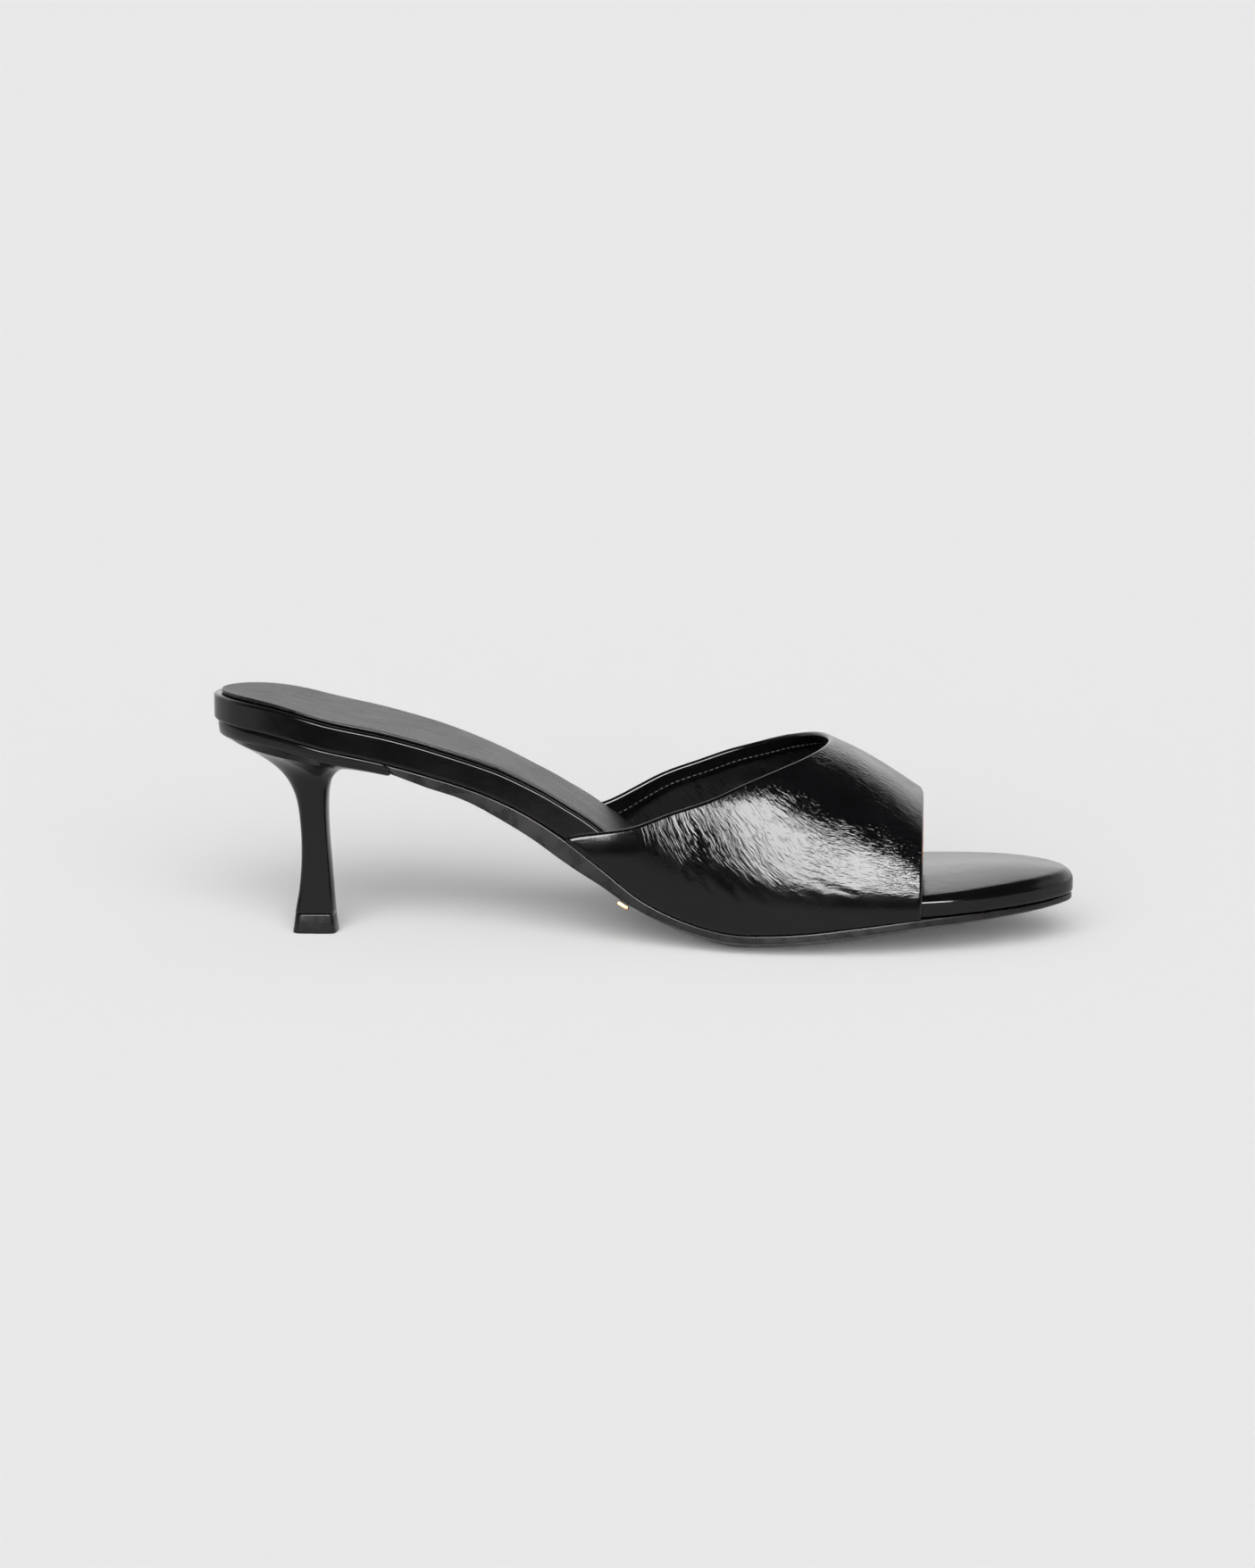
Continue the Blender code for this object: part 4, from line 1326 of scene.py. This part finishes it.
def raw_leather():
    """The toe opening's edge: near black, and tan in patches along its upper part."""
    material, tree, shader = new_finish("raw_edge", Roughness=0.5)
    place = node(tree, "ShaderNodeTexCoord").outputs["Object"]
    high = node(tree, "ShaderNodeSeparateXYZ", Vector=place).outputs["Z"]
    mix_share = maths(tree, "MULTIPLY", spread(tree, high, 0.024, 0.029, 0.0, 1.0),
                 spread(tree, noise(tree, place, 400.0), 0.35, 0.6, 0.35, 1.0))
    tree.links.new(two_colours(tree, mix_share, (0.003, 0.0028, 0.003), (0.20, 0.075, 0.028)),
                   shader.inputs["Base Color"])
    return material


raw_edge = raw_leather()

# %% Dress the pieces
dress(vamp, [leather, glossy_leather, lining, raw_edge], "upper_leather", "upper")
dress(stitches, [thread], "upper_leather")
dress(platform, [glossy_leather], "platform_leather", "platform")
dress(sock, [sock_finish, edge_paint], "sock_leather", "sock")
dress(outsole, [sole_finish, edge_paint], "sole_leather", "outsole")
dress(heel, [heel_finish], "heel_cover", "heel")
dress(top_piece, [rubber], "tip_rubber", "top_piece")
dress(plate, [gilt], "gilt", "sole_plate")

# %% [markdown]
# ## Floor, light and camera
#
# The shoe stands on a pale floor that runs far back, so floor and background are one even tone. The
# light is drawn into the sky of the world. Gloss mirrors one big soft box in front, tilted up to the
# right, and a bright low sky behind, with dark overhead. Matt surfaces are lit by a soft lobe from
# the front, which keeps the shadow under and behind the shoe. In gloss the floor is dimmer, and black
# far in front, where the photo's table ends.

# %% Floor
FLOOR_REACH = 60.0
FLOOR_FRONT = -0.62
GLOSS_DARK_TO_DIM = (-0.34, -0.16)
GLOSS_DIM = 0.28
bpy.ops.object.select_all(action="DESELECT")
bpy.ops.mesh.primitive_plane_add(size=2 * FLOOR_REACH, location=(0, FLOOR_FRONT + FLOOR_REACH, 0))
bpy.ops.object.transform_apply(location=True)
floor = bpy.context.object
floor.name = floor.data.name = "floor"
floor_finish, floor_tree, floor_shader = new_finish(
    "floor_acrylic", Roughness=0.6, Specular_IOR_Level=0.0, Base_Color=(0.78, 0.78, 0.78, 1.0),
    Emission_Color=(1.0, 1.0, 1.0, 1.0), Emission_Strength=0.05)
unlit = node(floor_tree, "ShaderNodeEmission", Color=(0.02, 0.02, 0.02, 1.0))
floor_place = node(floor_tree, "ShaderNodeSeparateXYZ",
                   Vector=node(floor_tree, "ShaderNodeTexCoord").outputs["Object"])
dimmed = spread(floor_tree, floor_place.outputs["Y"], *GLOSS_DARK_TO_DIM, 1.0, GLOSS_DIM)
glossy_ray = node(floor_tree, "ShaderNodeLightPath").outputs["Is Glossy Ray"]
in_gloss = maths(floor_tree, "MULTIPLY", glossy_ray, dimmed)
floor_mix = node(floor_tree, "ShaderNodeMixShader")
floor_tree.links.new(in_gloss, floor_mix.inputs[0])
floor_tree.links.new(floor_shader.outputs[0], floor_mix.inputs[1])
floor_tree.links.new(unlit.outputs[0], floor_mix.inputs[2])
floor_tree.links.new(floor_mix.outputs[0], floor_tree.nodes["Material Output"].inputs["Surface"])
floor.data.materials.append(floor_finish)

# %% Sky with two soft boxes
BACKDROP = 0.82
OVERHEAD = 0.04
LOBE_AXIS = (0.0, -0.927, 0.375)
LOBE_POWER = 12.0
LOBE = 14.43
FILL = 0.18
sky = bpy.data.worlds.new("studio")
bpy.context.scene.world = sky
sky.use_nodes = True
sky.cycles.sampling_method = "NONE"
sky_tree = sky.node_tree
towards = node(sky_tree, "ShaderNodeTexCoord").outputs["Generated"]


def along_axis(axis):
    made = node(sky_tree, "ShaderNodeVectorMath", operation="DOT_PRODUCT")
    sky_tree.links.new(towards, made.inputs[0])
    made.inputs[1].default_value = axis
    return made.outputs["Value"]


def soft_box(turned, raised, roll, half_wide, half_high, light, soft, slope=0.0):
    """A bright rectangle in the sky: its direction and roll in degrees, half sizes at unit distance."""
    turned, raised, roll = (math.radians(value) for value in (turned, raised, roll))
    centre = Vector((math.sin(turned) * math.cos(raised), -math.cos(turned) * math.cos(raised),
                     math.sin(raised)))
    level = Vector((0, 0, 1)).cross(centre).normalized()
    beside = level * math.cos(roll) + centre.cross(level) * math.sin(roll)
    facing = maths(sky_tree, "MAXIMUM", along_axis(centre), 0.05)
    across = maths(sky_tree, "DIVIDE", along_axis(beside), facing)
    upward = maths(sky_tree, "DIVIDE", along_axis(centre.cross(beside)), facing)
    shape = maths(sky_tree, "MULTIPLY_ADD", across, slope, light)
    for way, half in ((across, half_wide), (upward, half_high)):
        off = maths(sky_tree, "ABSOLUTE", way)
        edge = spread(sky_tree, off, half * (1 - soft), half * (1 + soft), 1.0, 0.0)
        shape = maths(sky_tree, "MULTIPLY", edge, shape)
    return shape


front_box = soft_box(1, 20.3, 14, 0.47, 0.235, 21.0, 0.12, slope=6.0)
back_box = soft_box(170, 22, 0, 1.50, 0.24, 0.60, 0.45)
behind = spread(sky_tree, along_axis((0, 1, 0)), -0.25, 0.35, 0.03, 1.0)
upwards = along_axis((0, 0, 1))
backdrop = maths(sky_tree, "MULTIPLY", spread(sky_tree, upwards, 0.55, 0.80, BACKDROP, OVERHEAD), behind)
mirrored = maths(sky_tree, "ADD", maths(sky_tree, "ADD", front_box, back_box), backdrop)
from_front = maths(sky_tree, "MAXIMUM", along_axis(LOBE_AXIS), 0.0)
dome = maths(sky_tree, "MULTIPLY_ADD", maths(sky_tree, "POWER", from_front, LOBE_POWER), LOBE, FILL)
rays = node(sky_tree, "ShaderNodeLightPath")
lit = node(sky_tree, "ShaderNodeMix", data_type="FLOAT", Factor=rays.outputs["Is Diffuse Ray"],
           A=mirrored, B=dome)
strength = node(sky_tree, "ShaderNodeMix", data_type="FLOAT", Factor=rays.outputs["Is Camera Ray"],
                A=lit.outputs[0], B=BACKDROP)
background = sky_tree.nodes["Background"]
background.inputs["Color"].default_value = (1.0, 1.0, 1.0, 1.0)
sky_tree.links.new(strength.outputs[0], background.inputs["Strength"])
bpy.context.scene.view_settings.view_transform = "Standard"

# %% Camera
CAMERA_TURN = math.radians(1.5)
CAMERA_RISE = math.radians(9.6)
CAMERA_AWAY = 1.45
CAMERA_LENS = 118.9
AIM = Vector((-0.0044, 0.0, 0.0422))
back = Vector((math.sin(CAMERA_TURN) * math.cos(CAMERA_RISE),
               -math.cos(CAMERA_TURN) * math.cos(CAMERA_RISE), math.sin(CAMERA_RISE)))
bpy.ops.object.camera_add(location=AIM + back * CAMERA_AWAY)
camera = bpy.context.object
camera.rotation_euler = back.to_track_quat("Z", "Y").to_euler()
camera.data.lens = CAMERA_LENS
camera.data.sensor_width = 36.0
camera.data.clip_end = 200.0
bpy.context.scene.camera = camera
